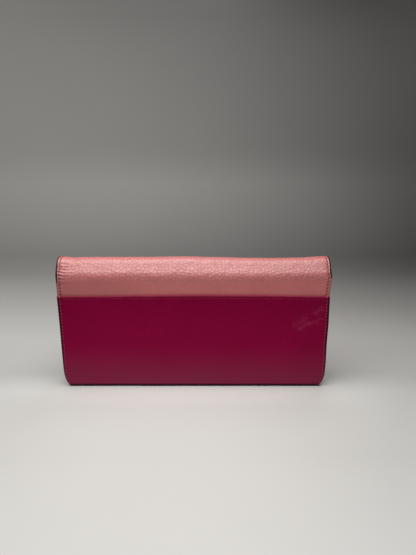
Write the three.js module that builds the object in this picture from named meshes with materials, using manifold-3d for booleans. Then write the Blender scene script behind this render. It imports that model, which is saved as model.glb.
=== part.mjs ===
// Long flap wallet: a back wall with a slip pocket, a front wall, an accordion
// divider with a zip coin pocket, card slots, and a flap that folds over the top
// and closes on a magnetic snap.
//
// Units are millimetres. +Z is up, the back wall faces -Y, and the origin is the
// middle of the bottom face that the wallet stands on.
import * as THREE from 'three';
import { mergeVertices } from 'three/addons/utils/BufferGeometryUtils.js';
import Module from 'manifold-3d';

// ---- driving dimensions --------------------------------------------------------
const WIDTH = 186; // whole wallet, side to side
const HEIGHT = 92; // standing height, closed
const FOLD_OUTER_R = 10; // outside radius of the two top folds
const LEATHER = 1.2; // back panel, spine and flap
const LEATHER_LOW = 1.1; // slip pocket, bottom and front panel
const BOARD = 0.5; // stiffener card
const LINING = 0.4; // textile lining
const SLOT = 0.5; // card slot leather
const COIN_WALL = 0.6; // coin pocket walls

const POCKET_TOP = 67; // top edge of the slip pocket on the back
const FRONT_TOP = 76; // top edge of the front wall
const FLAP_BOTTOM = 14; // lower edge of the closed flap
const FLAP_CORNER_R = 12; // rounded lower corners of the flap
const CORNER_IN = 5.5; // the body's bottom corners pull in by this much
const CORNER_UP = 10; // over this height
const BOTTOM_FOLD_R = 3; // outside radius of the bottom folds
const BOTTOM_UP = 3.1; // the bottom piece turns up to here
const FOLD_GAP = 0.3; // gap left where one sheet is divided at a fold

// faces of the layers, from the back (-Y) to the front (+Y)
const Y_POCKET = [-11.45, -11.45 + LEATHER_LOW];
const Y_BACK = [-10.25, -10.25 + LEATHER];
const Y_BACK_BOARD = [-8.95, -8.95 + BOARD];
const Y_BACK_LINING = [-8.35, -8.35 + LINING];
const Y_SLOTS = [
  [-7.85, -7.85 + SLOT],
  [-7.25, -7.25 + SLOT],
  [-6.65, -6.65 + SLOT],
];
const Y_COIN_BACK = [-1.75, -1.75 + COIN_WALL];
const Y_COIN_FRONT = [-0.15, -0.15 + COIN_WALL];
const Y_FRONT_LINING = [4.85, 4.85 + LINING];
const Y_STUD_WASHER = [5.35, 5.85];
const Y_FRONT = [5.95, 5.95 + LEATHER_LOW];
const Y_STUD = [7.15, 7.85];
const Y_STUD_TIP = 8.75;
const Y_SOCKET = [8.05, 9.05];
const Y_FLAP_LINING = [9.15, 9.15 + LINING];
const Y_FLAP_BOARD = [9.65, 9.65 + BOARD];
const Y_FLAP = [10.25, 10.25 + LEATHER];

// top folds
const FOLD_MID_R = FOLD_OUTER_R - LEATHER / 2;
const FOLD_Z = HEIGHT - FOLD_OUTER_R;
const FOLD_BACK_Y = Y_BACK[0] + FOLD_OUTER_R;
const FOLD_FRONT_Y = Y_FLAP[1] - FOLD_OUTER_R;
const LINING_OUTER_R = FOLD_OUTER_R - LEATHER - 0.1;
const LINING_INNER_R = LINING_OUTER_R - LINING;

// card slots
const SLOT_X = [1.0, 90.6]; // one column, mirrored for the other
const SLOT_BOTTOM = 5;
const SLOT_TOPS = [70, 59, 48]; // the slot nearest the wall stands highest

// zip coin pocket
const COIN_HALF = 88.7;
const COIN_Z = [5, 69.5];
const ZIP_Y = -0.65;
const ZIP_TAPE_Z = [62, 71.2];
const ZIP_COIL_HALF = 78;
const ZIP_COIL_Z = [71.4, 72.8];
const SLIDER_LENGTH = 9;
const SLIDER_X = 74.5; // centre of the slider with the zip closed
const PULL_REACH = 14;

// magnetic snap
const SNAP_Z = 25;
const SNAP_R = 6.5;
const STUD_POST_R = 2.2;
const SOCKET_HOLE_R = 2.7;

// ---- materials -----------------------------------------------------------------
const mat = (color, roughness, metalness = 0) =>
  new THREE.MeshStandardMaterial({ color, roughness, metalness });
const rose = mat(0xb5706c, 0.5);
const magenta = mat(0x7a0c3a, 0.45);
const lining = mat(0xa88f86, 0.9);
const board = mat(0x9a8f80, 0.9);
const slotLeather = mat(0x8a1145, 0.5);
const gussetLeather = mat(0x7a0c3a, 0.55);
const tape = mat(0x6b1238, 0.85);
const coil = mat(0x741a40, 0.5);
const metal = mat(0xc9a86a, 0.3, 1);

// ---- helpers -------------------------------------------------------------------
const wasm = await Module();
wasm.setup();

function toManifold(geometry) {
  const g = geometry.clone();
  g.deleteAttribute('normal');
  g.deleteAttribute('uv');
  const merged = mergeVertices(g, 1e-4);
  return new wasm.Manifold(
    new wasm.Mesh({
      numProp: 3,
      vertProperties: new Float32Array(merged.attributes.position.array),
      triVerts: new Uint32Array(merged.index.array),
    }),
  );
}

function toGeometry(manifold) {
  const m = manifold.getMesh();
  const g = new THREE.BufferGeometry();
  const p = new Float32Array((m.vertProperties.length / m.numProp) * 3);
  for (let i = 0; i < p.length / 3; i++)
    for (let k = 0; k < 3; k++) p[3 * i + k] = m.vertProperties[i * m.numProp + k];
  g.setAttribute('position', new THREE.BufferAttribute(p, 3));
  g.setIndex(new THREE.BufferAttribute(new Uint32Array(m.triVerts), 1));
  const flat = g.toNonIndexed();
  flat.computeVertexNormals();
  return flat;
}

const both = (a, b) => toGeometry(toManifold(a).intersect(toManifold(b)));
const join = (...gs) =>
  toGeometry(gs.map(toManifold).reduce((sum, g) => sum.add(g)));

function polygon(points) {
  const s = new THREE.Shape();
  points.forEach(([u, v], i) => (i ? s.lineTo(u, v) : s.moveTo(u, v)));
  s.closePath();
  return s;
}

// a section drawn in Y and Z, extruded along X
function alongX(points, x0 = -WIDTH / 2, x1 = WIDTH / 2) {
  const g = new THREE.ExtrudeGeometry(polygon(points), {
    depth: x1 - x0,
    bevelEnabled: false,
    curveSegments: 8,
  });
  g.applyMatrix4(
    new THREE.Matrix4().set(0, 0, 1, x0, 1, 0, 0, 0, 0, 1, 0, 0, 0, 0, 0, 1),
  );
  return g;
}

// an outline drawn in X and Z, extruded along Y
function alongY(shape, [y0, y1], curveSegments = 8) {
  const g = new THREE.ExtrudeGeometry(shape, {
    depth: y1 - y0,
    bevelEnabled: false,
    curveSegments,
  });
  g.applyMatrix4(
    new THREE.Matrix4().set(1, 0, 0, 0, 0, 0, -1, y1, 0, 1, 0, 0, 0, 0, 0, 1),
  );
  return g;
}

// an outline drawn in X and Y, extruded along Z
function alongZ(shape, [z0, z1], curveSegments = 8) {
  const g = new THREE.ExtrudeGeometry(shape, {
    depth: z1 - z0,
    bevelEnabled: false,
    curveSegments,
  });
  g.translate(0, 0, z0);
  return g;
}

// the wallet's outline, with its pulled-in bottom corners
function bodyOutline(z0, z1, inset = 0) {
  const half = WIDTH / 2 - inset;
  const at = (z) =>
    z >= CORNER_UP
      ? half
      : half - CORNER_IN * (1 - Math.sqrt(1 - ((CORNER_UP - z) / CORNER_UP) ** 2));
  const zs = [z0];
  for (const z of [0.6, 1.6, 3, 4.8, 7, 10]) if (z > z0 + 0.2 && z < z1) zs.push(z);
  zs.push(z1);
  const right = zs.map((z) => [at(z), z]);
  const left = zs.map((z) => [-at(z), z]).reverse();
  return polygon([...right, ...left]);
}

// the flap's outline, with rounded lower corners
function flapOutline(z0, z1, inset = 0) {
  const half = WIDTH / 2 - inset;
  const r = FLAP_CORNER_R;
  const s = new THREE.Shape();
  s.moveTo(half, z1);
  s.lineTo(-half, z1);
  s.lineTo(-half, z0 + r);
  s.absarc(-half + r, z0 + r, r, Math.PI, 1.5 * Math.PI, false);
  s.lineTo(half - r, z0);
  s.absarc(half - r, z0 + r, r, 1.5 * Math.PI, 2 * Math.PI, false);
  s.closePath();
  return s;
}

function roundedRect(x0, x1, z0, z1, r) {
  const s = new THREE.Shape();
  s.moveTo(x0, z0);
  s.lineTo(x1, z0);
  s.lineTo(x1, z1 - r);
  s.absarc(x1 - r, z1 - r, r, 0, Math.PI / 2, false);
  s.lineTo(x0 + r, z1);
  s.absarc(x0 + r, z1 - r, r, Math.PI / 2, Math.PI, false);
  s.closePath();
  return s;
}

const arc = (cy, cz, r, a0, a1, n) =>
  Array.from({ length: n + 1 }, (_, i) => {
    const a = a0 + ((a1 - a0) * i) / n;
    return [cy + r * Math.cos(a), cz + r * Math.sin(a)];
  });

const disc = (r, y0, y1, n = 28) => {
  const g = new THREE.CylinderGeometry(r, r, y1 - y0, n);
  g.translate(0, (y0 + y1) / 2, SNAP_Z);
  return g;
};

const group = new THREE.Group();
group.name = 'long_wallet';
function add(name, geometry, material) {
  const mesh = new THREE.Mesh(geometry, material);
  mesh.name = name;
  group.add(mesh);
  return mesh;
}

// ---- back wall -----------------------------------------------------------------
add(
  'back_slip_pocket',
  alongY(bodyOutline(BOTTOM_UP + FOLD_GAP, POCKET_TOP), Y_POCKET),
  magenta,
);

// the bottom: one leather strip that turns up at the back and at the front
{
  const r = BOTTOM_FOLD_R;
  const t = LEATHER_LOW;
  const yb = Y_POCKET[0];
  const yf = Y_FRONT[1];
  const up = Math.PI;
  const outer = [
    [yb, BOTTOM_UP],
    ...arc(yb + r, r, r, up, 1.5 * Math.PI, 6),
    ...arc(yf - r, r, r, 1.5 * Math.PI, 2 * Math.PI, 6),
    [yf, BOTTOM_UP],
  ];
  const inner = [
    [yf - t, BOTTOM_UP],
    ...arc(yf - r, r, r - t, 2 * Math.PI, 1.5 * Math.PI, 4),
    ...arc(yb + r, r, r - t, 1.5 * Math.PI, up, 4),
    [yb + t, BOTTOM_UP],
  ];
  add(
    'bottom_wrap',
    both(alongX([...outer, ...inner]), alongY(bodyOutline(0, 20), [-20, 20])),
    magenta,
  );
}

// half of a quarter fold is carried by each side, up to a line at 45 degrees
const HALF = Math.PI / 4;
const backGap = FOLD_GAP / 2 / FOLD_MID_R;
{
  const c = [FOLD_BACK_Y, FOLD_Z];
  const end = Math.PI - HALF + backGap;
  const section = [
    [Y_BACK[0], BOTTOM_UP + FOLD_GAP],
    [Y_BACK[1], BOTTOM_UP + FOLD_GAP],
    ...arc(...c, FOLD_OUTER_R - LEATHER, Math.PI, end, 6),
    ...arc(...c, FOLD_OUTER_R, end, Math.PI, 6),
  ];
  add(
    'back_panel',
    both(alongX(section), alongY(bodyOutline(BOTTOM_UP + FOLD_GAP, 100), [-20, 20])),
    rose,
  );
  const liningSection = [
    [Y_BACK_LINING[0], BOTTOM_UP + FOLD_GAP],
    [Y_BACK_LINING[1], BOTTOM_UP + FOLD_GAP],
    [Y_BACK_LINING[1], FOLD_Z - 1.0],
    ...arc(...c, LINING_INNER_R, Math.PI - 0.06, end, 5),
    ...arc(...c, LINING_OUTER_R, end, Math.PI - 0.06, 5),
    [Y_BACK_LINING[0], FOLD_Z - 0.5],
  ];
  add(
    'back_lining',
    both(
      alongX(liningSection),
      alongY(bodyOutline(BOTTOM_UP + FOLD_GAP, 100, 1), [-20, 20]),
    ),
    lining,
  );
}
add('back_board', alongY(bodyOutline(4, FOLD_Z - 1.2, 1.5), Y_BACK_BOARD), board);

for (const side of ['left', 'right']) {
  const s = side === 'left' ? -1 : 1;
  ['rear', 'middle', 'front'].forEach((tier, i) => {
    const [a, b] = SLOT_X;
    add(
      `card_slot_${side}_${tier}`,
      alongY(
        roundedRect(s > 0 ? a : -b, s > 0 ? b : -a, SLOT_BOTTOM, SLOT_TOPS[i], 2.5),
        Y_SLOTS[i],
        4,
      ),
      slotLeather,
    );
  });
}

// side gussets: one strip each, pleated inwards in front of and behind the divider
{
  const t = 0.3; // half the strip's thickness
  const line = [
    [91.7, -7.75],
    [91.7, -5.7],
    [80.8, -4.35],
    [80.8, -3.65],
    [89.5, -2.5],
    [89.5, 1.2],
    [80.8, 2.1],
    [80.8, 2.9],
    [91.7, 3.9],
    [91.7, 4.7],
  ];
  const offset = (side) =>
    line.map(([x, y], i) => {
      const a = line[Math.max(i - 1, 0)];
      const b = line[Math.min(i + 1, line.length - 1)];
      const d1 = new THREE.Vector2(x - a[0], y - a[1]);
      const d2 = new THREE.Vector2(b[0] - x, b[1] - y);
      if (d1.length() < 1e-9) d1.copy(d2);
      if (d2.length() < 1e-9) d2.copy(d1);
      d1.normalize();
      d2.normalize();
      const n = new THREE.Vector2(-(d1.y + d2.y), d1.x + d2.x).normalize();
      const k = Math.min(1.8, 1 / Math.max(0.2, n.x * -d1.y + n.y * d1.x));
      return [x + side * t * k * n.x, y + side * t * k * n.y];
    });
  const ring = [...offset(1), ...offset(-1).reverse()];
  const flip = ring.map(([x, y]) => [-x, y]);
  add('gusset_left', alongZ(polygon(flip), [6, 72]), gussetLeather);
  add('gusset_right', alongZ(polygon(ring), [6, 72]), gussetLeather);
}

// ---- divider: zip coin pocket ----------------------------------------------------
add(
  'coin_pocket_back_wall',
  alongY(roundedRect(-COIN_HALF, COIN_HALF, ...COIN_Z, 2), Y_COIN_BACK, 4),
  slotLeather,
);
add(
  'coin_pocket_front_wall',
  alongY(roundedRect(-COIN_HALF, COIN_HALF, ...COIN_Z, 2), Y_COIN_FRONT, 4),
  slotLeather,
);
add(
  'zip_tape_back',
  alongY(roundedRect(-84, 84, ...ZIP_TAPE_Z, 1), [-1.1, -0.8], 2),
  tape,
);
add(
  'zip_tape_front',
  alongY(roundedRect(-84, 84, ...ZIP_TAPE_Z, 1), [-0.5, -0.2], 2),
  tape,
);
{
  const zc = (ZIP_COIL_Z[0] + ZIP_COIL_Z[1]) / 2;
  const rod = (cy) =>
    alongX(
      Array.from({ length: 8 }, (_, i) => {
        const a = ((i + 0.5) / 8) * 2 * Math.PI;
        return [cy + 0.5 * Math.cos(a), zc + 0.75 * Math.sin(a)];
      }),
      -ZIP_COIL_HALF,
      ZIP_COIL_HALF,
    );
  add('zip_coil_back', rod(ZIP_Y - 0.55), coil);
  add('zip_coil_front', rod(ZIP_Y + 0.55), coil);
  const stop = (x0, x1) =>
    alongX(
      [
        [ZIP_Y - 1.1, 71.4],
        [ZIP_Y + 1.1, 71.4],
        [ZIP_Y + 1.1, 72.7],
        [ZIP_Y + 0.7, 73.0],
        [ZIP_Y - 0.7, 73.0],
        [ZIP_Y - 1.1, 72.7],
      ],
      x0,
      x1,
    );
  add('zip_stop_left', stop(-81.3, -79.7), metal);
  add('zip_stop_right', stop(79.7, 81.3), metal);
}

// slider: a channel over the coils with a bridge for the pull
{
  const h = SLIDER_LENGTH / 2;
  const channel = alongX(
    [
      [ZIP_Y - 2.1, 70.3],
      [ZIP_Y - 1.4, 70.3],
      [ZIP_Y - 1.4, 73.1],
      [ZIP_Y + 1.4, 73.1],
      [ZIP_Y + 1.4, 70.3],
      [ZIP_Y + 2.1, 70.3],
      [ZIP_Y + 2.1, 73.6],
      [ZIP_Y + 1.7, 74.0],
      [ZIP_Y - 1.7, 74.0],
      [ZIP_Y - 2.1, 73.6],
    ],
    SLIDER_X - h,
    SLIDER_X + h,
  );
  const bridge = new THREE.Shape();
  bridge.moveTo(SLIDER_X - 3.2, 73.6);
  bridge.lineTo(SLIDER_X - 2.3, 73.6);
  bridge.lineTo(SLIDER_X - 2.3, 75.7);
  bridge.lineTo(SLIDER_X + 2.3, 75.7);
  bridge.lineTo(SLIDER_X + 2.3, 73.6);
  bridge.lineTo(SLIDER_X + 3.2, 73.6);
  bridge.lineTo(SLIDER_X + 3.2, 76.0);
  bridge.lineTo(SLIDER_X + 2.6, 76.5);
  bridge.lineTo(SLIDER_X - 2.6, 76.5);
  bridge.lineTo(SLIDER_X - 3.2, 76.0);
  bridge.closePath();
  add(
    'zip_slider_body',
    join(channel, alongY(bridge, [ZIP_Y - 0.6, ZIP_Y + 0.6])),
    metal,
  );

  // pull: a bar under the bridge, two arms beside it and a tab
  const px = SLIDER_X;
  const s = new THREE.Shape();
  s.moveTo(px + 0.5, ZIP_Y - 1.8);
  s.lineTo(px + 0.5, ZIP_Y + 1.8);
  s.lineTo(px - 4.6, ZIP_Y + 1.8);
  s.lineTo(px - 6.0, ZIP_Y + 2.4);
  s.lineTo(px - PULL_REACH + 1.2, ZIP_Y + 2.4);
  s.lineTo(px - PULL_REACH, ZIP_Y + 1.4);
  s.lineTo(px - PULL_REACH, ZIP_Y - 1.4);
  s.lineTo(px - PULL_REACH + 1.2, ZIP_Y - 2.4);
  s.lineTo(px - 6.0, ZIP_Y - 2.4);
  s.lineTo(px - 4.6, ZIP_Y - 1.8);
  s.closePath();
  const eye = new THREE.Path();
  eye.moveTo(px - 0.5, ZIP_Y - 0.95);
  eye.lineTo(px - 4.2, ZIP_Y - 0.95);
  eye.lineTo(px - 4.2, ZIP_Y + 0.95);
  eye.lineTo(px - 0.5, ZIP_Y + 0.95);
  eye.closePath();
  s.holes.push(eye);
  add('zip_pull_tab', alongZ(s, [74.4, 75.4]), metal);
}

// ---- front wall ------------------------------------------------------------------
add(
  'front_panel',
  alongY(bodyOutline(BOTTOM_UP + FOLD_GAP, FRONT_TOP), Y_FRONT),
  magenta,
);
add('front_lining', alongY(bodyOutline(4.5, FRONT_TOP - 0.8, 1), Y_FRONT_LINING), lining);
add('snap_stud_washer', disc(SNAP_R - 0.8, ...Y_STUD_WASHER), metal);
add(
  'snap_stud',
  (() => {
    const g = new THREE.LatheGeometry(
      [
        new THREE.Vector2(0, Y_STUD[0]),
        new THREE.Vector2(SNAP_R, Y_STUD[0]),
        new THREE.Vector2(SNAP_R, Y_STUD[1] - 0.2),
        new THREE.Vector2(SNAP_R - 0.3, Y_STUD[1]),
        new THREE.Vector2(STUD_POST_R, Y_STUD[1]),
        new THREE.Vector2(STUD_POST_R, Y_STUD_TIP - 0.3),
        new THREE.Vector2(STUD_POST_R - 0.3, Y_STUD_TIP),
        new THREE.Vector2(0, Y_STUD_TIP),
      ],
      28,
    );
    g.translate(0, 0, SNAP_Z);
    return g;
  })(),
  metal,
);

// ---- spine -----------------------------------------------------------------------
{
  const b = [FOLD_BACK_Y, FOLD_Z];
  const f = [FOLD_FRONT_Y, FOLD_Z];
  const start = Math.PI - HALF - backGap;
  const stop = HALF + backGap;
  const section = (ro, ri) => [
    ...arc(...b, ro, start, Math.PI / 2, 6),
    ...arc(...f, ro, Math.PI / 2, stop, 6),
    ...arc(...f, ri, stop, Math.PI / 2, 6),
    ...arc(...b, ri, Math.PI / 2, start, 6),
  ];
  add('spine_leather', alongX(section(FOLD_OUTER_R, FOLD_OUTER_R - LEATHER)), rose);
  add(
    'spine_lining',
    alongX(section(LINING_OUTER_R, LINING_INNER_R), -WIDTH / 2 + 1, WIDTH / 2 - 1),
    lining,
  );
}

// ---- flap ------------------------------------------------------------------------
{
  const f = [FOLD_FRONT_Y, FOLD_Z];
  const start = HALF - backGap;
  const section = [
    [Y_FLAP[1], FLAP_BOTTOM],
    ...arc(...f, FOLD_OUTER_R, 0, start, 6),
    ...arc(...f, FOLD_OUTER_R - LEATHER, start, 0, 6),
    [Y_FLAP[0], FLAP_BOTTOM],
  ];
  add(
    'flap_leather',
    both(alongX(section), alongY(flapOutline(FLAP_BOTTOM, 100), [-20, 20])),
    rose,
  );
  const liningSection = [
    [Y_FLAP_LINING[1], FLAP_BOTTOM + 1],
    [Y_FLAP_LINING[1], FOLD_Z - 0.5],
    ...arc(...f, LINING_OUTER_R, 0.06, start, 5),
    ...arc(...f, LINING_INNER_R, start, 0.06, 5),
    [Y_FLAP_LINING[0], FOLD_Z - 1.0],
    [Y_FLAP_LINING[0], FLAP_BOTTOM + 1],
  ];
  add(
    'flap_lining',
    both(alongX(liningSection), alongY(flapOutline(FLAP_BOTTOM + 1, 100, 1), [-20, 20])),
    lining,
  );
}
{
  const outline = flapOutline(FLAP_BOTTOM + 1.5, FOLD_Z - 1.2, 1.5);
  const hole = new THREE.Path();
  hole.absarc(0, SNAP_Z, SNAP_R - 0.4, 0, 2 * Math.PI, true);
  outline.holes.push(hole);
  add('flap_board', alongY(outline, Y_FLAP_BOARD), board);
}
add('snap_socket_washer', disc(SNAP_R - 0.8, Y_FLAP_BOARD[0], Y_FLAP_BOARD[1]), metal);
add(
  'snap_socket',
  (() => {
    const g = new THREE.LatheGeometry(
      [
        new THREE.Vector2(SOCKET_HOLE_R, Y_SOCKET[0] + 0.2),
        new THREE.Vector2(SOCKET_HOLE_R + 0.2, Y_SOCKET[0]),
        new THREE.Vector2(SNAP_R - 0.3, Y_SOCKET[0]),
        new THREE.Vector2(SNAP_R, Y_SOCKET[0] + 0.3),
        new THREE.Vector2(SNAP_R, Y_SOCKET[1]),
        new THREE.Vector2(SOCKET_HOLE_R, Y_SOCKET[1]),
        new THREE.Vector2(SOCKET_HOLE_R, Y_SOCKET[0] + 0.2),
      ],
      28,
    );
    g.translate(0, 0, SNAP_Z);
    return g;
  })(),
  metal,
);

export default group;
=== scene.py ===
import math

import bpy
import numpy as np
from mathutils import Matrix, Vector
from mathutils.geometry import delaunay_2d_cdt


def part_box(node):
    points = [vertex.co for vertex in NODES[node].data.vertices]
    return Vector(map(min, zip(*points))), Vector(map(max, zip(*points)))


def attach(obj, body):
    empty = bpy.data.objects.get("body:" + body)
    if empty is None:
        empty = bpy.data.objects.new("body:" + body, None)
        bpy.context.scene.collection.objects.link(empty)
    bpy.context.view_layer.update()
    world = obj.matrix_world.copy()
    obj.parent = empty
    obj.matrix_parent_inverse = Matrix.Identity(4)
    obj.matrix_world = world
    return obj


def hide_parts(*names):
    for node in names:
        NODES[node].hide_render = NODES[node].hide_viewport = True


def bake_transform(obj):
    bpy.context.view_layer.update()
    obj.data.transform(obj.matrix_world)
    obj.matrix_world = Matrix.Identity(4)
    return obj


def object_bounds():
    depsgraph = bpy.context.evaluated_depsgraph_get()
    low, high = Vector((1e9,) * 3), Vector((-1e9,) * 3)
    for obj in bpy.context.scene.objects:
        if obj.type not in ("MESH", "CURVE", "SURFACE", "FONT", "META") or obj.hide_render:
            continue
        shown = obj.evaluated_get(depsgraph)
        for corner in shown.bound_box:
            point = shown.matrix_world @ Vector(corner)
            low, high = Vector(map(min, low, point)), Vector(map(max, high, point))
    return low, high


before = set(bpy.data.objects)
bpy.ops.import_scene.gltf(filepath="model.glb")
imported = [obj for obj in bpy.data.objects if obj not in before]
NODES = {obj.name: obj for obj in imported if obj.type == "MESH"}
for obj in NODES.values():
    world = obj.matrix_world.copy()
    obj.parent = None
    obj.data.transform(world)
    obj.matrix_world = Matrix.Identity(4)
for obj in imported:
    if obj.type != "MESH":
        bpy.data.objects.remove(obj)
CAD_LO, CAD_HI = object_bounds()
MM = 0.001

# ------------------------------------------------------------------ sizes, in mm, as in the CAD frame
HALF = CAD_HI.x / MM
TOP = CAD_HI.z / MM
R_OUT, T_ROSE, T_MAG = 10.0, 1.2, 1.1
Y_BACK = (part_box("back_panel")[0].y / MM) + T_ROSE / 2  # middle of the back panel
Y_FLAP = (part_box("flap_leather")[1].y / MM) - T_ROSE / 2
Y_POCKET = (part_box("back_slip_pocket")[0].y / MM) + T_MAG / 2
Y_FRONT = (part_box("front_panel")[1].y / MM) - T_MAG / 2
POCKET_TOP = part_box("back_slip_pocket")[1].z / MM
FRONT_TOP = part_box("front_panel")[1].z / MM
FLAP_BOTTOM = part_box("flap_leather")[0].z / MM
R_MID = R_OUT - T_ROSE / 2
Z_FOLD = TOP - R_OUT
Z_SPINE = TOP - T_ROSE / 2
Y_SPINE_MID = (Y_BACK + Y_FLAP) / 2
FLAP_R = 12.0
STITCH = 2.3


# ------------------------------------------------------------------ small maths
def smooth(t):
    t = np.clip(t, 0, 1)
    return t * t * (3 - 2 * t)


def hash2(ix, iy, seed):
    a = (ix.astype(np.int64) * 73856093) ^ (iy.astype(np.int64) * 19349663) ^ (seed * 83492791)
    a = (a ^ (a >> 13)) * 1274126177 & 0x7FFFFFFF
    b = (a ^ (a >> 11)) * 668265263 & 0x7FFFFFFF
    return (a & 0xFFFFF) / float(0xFFFFF), (b & 0xFFFFF) / float(0xFFFFF)


def value_noise(x, y, size, seed):
    """Smooth noise from -1 to 1 with features of that size."""
    gx, gy = x / size, y / size
    ix, iy = np.floor(gx), np.floor(gy)
    fx, fy = smooth(gx - ix), smooth(gy - iy)
    v = [[hash2(ix + a, iy + b, seed)[0] for b in (0, 1)] for a in (0, 1)]
    low = v[0][0] * (1 - fy) + v[0][1] * fy
    high = v[1][0] * (1 - fy) + v[1][1] * fy
    return (low * (1 - fx) + high * fx) * 2 - 1


def fbm(x, y, size, seed, octaves=3):
    total, amp = 0, 1
    for k in range(octaves):
        total = total + amp * value_noise(x + 31.7 * k, y - 17.3 * k, size / 2**k, seed + 11 * k)
        amp *= 0.5
    return total / (2 - 2 ** (1 - octaves))


def cells(x, y, size, seed):
    """Distance to the nearest and second nearest jittered point, in units of the cell size, and a number per cell."""
    gx, gy = x / size, y / size
    ix, iy = np.floor(gx), np.floor(gy)
    f1 = np.full(gx.shape, 9.0)
    f2 = np.full(gx.shape, 9.0)
    tag = np.zeros(gx.shape)
    for a in (-1, 0, 1):
        for b in (-1, 0, 1):
            hx, hy = hash2(ix + a, iy + b, seed)
            px, py = ix + a + 0.1 + 0.8 * hx, iy + b + 0.1 + 0.8 * hy
            d = np.hypot(gx - px, gy - py)
            near = d < f1
            f2 = np.where(near, f1, np.minimum(f2, d))
            tag = np.where(near, hx, tag)
            f1 = np.minimum(f1, d)
    return f1, f2, tag


def pebble(x, v):
    """Grain of the rose leather: 0 in the creases and 1 on the tops, at a point x, v of the flat hide, in mm."""
    wx = x + 0.55 * fbm(x, v, 3.2, 5)
    wv = v + 0.55 * fbm(x + 77, v + 13, 3.2, 6)
    a1, a2, ta = cells(wx * 0.93, wv, 2.25, 1)
    b1, b2, tb = cells(wx, wv, 1.3, 2)
    big = smooth((a2 - a1) / 0.38)
    small = smooth((b2 - b1) / 0.45)
    return 0.68 * big * (0.7 + 0.3 * ta) + 0.32 * small * (0.7 + 0.3 * tb)


# ------------------------------------------------------------------ a path of lines and rounded corners
class Path:
    def __init__(self, points, radii=None, side=1.0):
        p = [np.array(q, float) for q in points]
        radii = radii or [0] * len(p)
        self.side, self.segs = side, []
        at = p[0]
        for i in range(1, len(p)):
            if i < len(p) - 1 and radii[i] > 0:
                a, b = p[i] - p[i - 1], p[i + 1] - p[i]
                a, b = a / np.linalg.norm(a), b / np.linalg.norm(b)
                turn = math.acos(max(-1, min(1, float(a @ b))))
                cut = radii[i] * math.tan(turn / 2)
                start = p[i] - a * cut
                self._line(at, start)
                sign = 1.0 if a[0] * b[1] - a[1] * b[0] > 0 else -1.0
                centre = start + sign * radii[i] * np.array([-a[1], a[0]])
                a0 = math.atan2(*(start - centre)[::-1])
                self.segs.append(("A", centre, radii[i], a0, sign, radii[i] * turn))
                at = p[i] + b * cut
            else:
                self._line(at, p[i])
                at = p[i]
        self.starts = np.concatenate([[0], np.cumsum([s[-1] for s in self.segs])])
        self.length = float(self.starts[-1])

    def _line(self, a, b):
        n = float(np.linalg.norm(b - a))
        if n > 1e-9:
            self.segs.append(("L", a, (b - a) / n, n))

    def at(self, s):
        s = np.asarray(s, float)
        pos, tan = np.zeros(s.shape + (2,)), np.zeros(s.shape + (2,))
        k = np.clip(np.searchsorted(self.starts, s, side="right") - 1, 0, len(self.segs) - 1)
        for i, g in enumerate(self.segs):
            m = k == i
            if not m.any():
                continue
            d = s[m] - self.starts[i]
            if g[0] == "L":
                pos[m] = g[1] + d[:, None] * g[2]
                tan[m] = g[2]
            else:
                _, c, r, a0, sign, _ = g
                a = a0 + sign * d / r
                pos[m] = c + r * np.stack([np.cos(a), np.sin(a)], 1)
                tan[m] = sign * np.stack([-np.sin(a), np.cos(a)], 1)
        normal = self.side * np.stack([-tan[..., 1], tan[..., 0]], -1)
        return pos, normal


# The top of the wallet isn't dead straight: soft rises and dips along it, which all layers share.
WAVE_X = np.array([-93, -90, -86.5, -82, -76, -66, -50, -30, -14, -4, 8, 24, 40, 52, 64, 76, 83, 88.5, 93])
WAVE_Z = np.array([0.4, 0.1, -0.4, -0.6, -0.38, -0.28, -0.35, -0.33, 0.1, 0.1, -0.25, -0.52, -0.95, -1.03, -0.88, -0.58, -0.05, 0.2, 0.3])


# The side edges aren't dead straight either: they stand out a little at the fold and above the bottom corners.
SIDE_Z = np.array([0, 4, 7, 11, 18, 32, 46, 60, 67, 73, 79, 83, 87.5, 92])
SIDE_LEFT = np.array([-0.5, -0.65, -0.65, -0.35, -0.15, -0.05, 0.0, 0.15, 0.3, 0.4, 0.5, 0.62, 0.75, 0.7])
SIDE_RIGHT = np.array([-0.1, -0.45, -0.35, 0.0, 0.2, 0.0, 0.3, 0.1, 0.0, 0.35, 1.05, 0.7, 0.6, 0.6])


def warp(p):
    """p in mm: the shared unevenness of the top and of the side edges."""
    p = p.copy()
    lift = np.interp(p[:, 0], WAVE_X, WAVE_Z)
    lift = lift * smooth((p[:, 2] - 74) / 18)
    flare = np.where(p[:, 0] < 0, -np.interp(p[:, 2], SIDE_Z, SIDE_LEFT), np.interp(p[:, 2], SIDE_Z, SIDE_RIGHT))
    p[:, 0] += flare * smooth((np.abs(p[:, 0]) - 58) / 32)
    p[:, 2] += lift
    return p


def body_half(z):
    z = np.asarray(z, float)
    t = np.clip((10.0 - z) / 10.0, 0, 1)
    return HALF - 5.5 * (1 - np.sqrt(np.clip(1 - t * t, 0, 1)))


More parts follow.
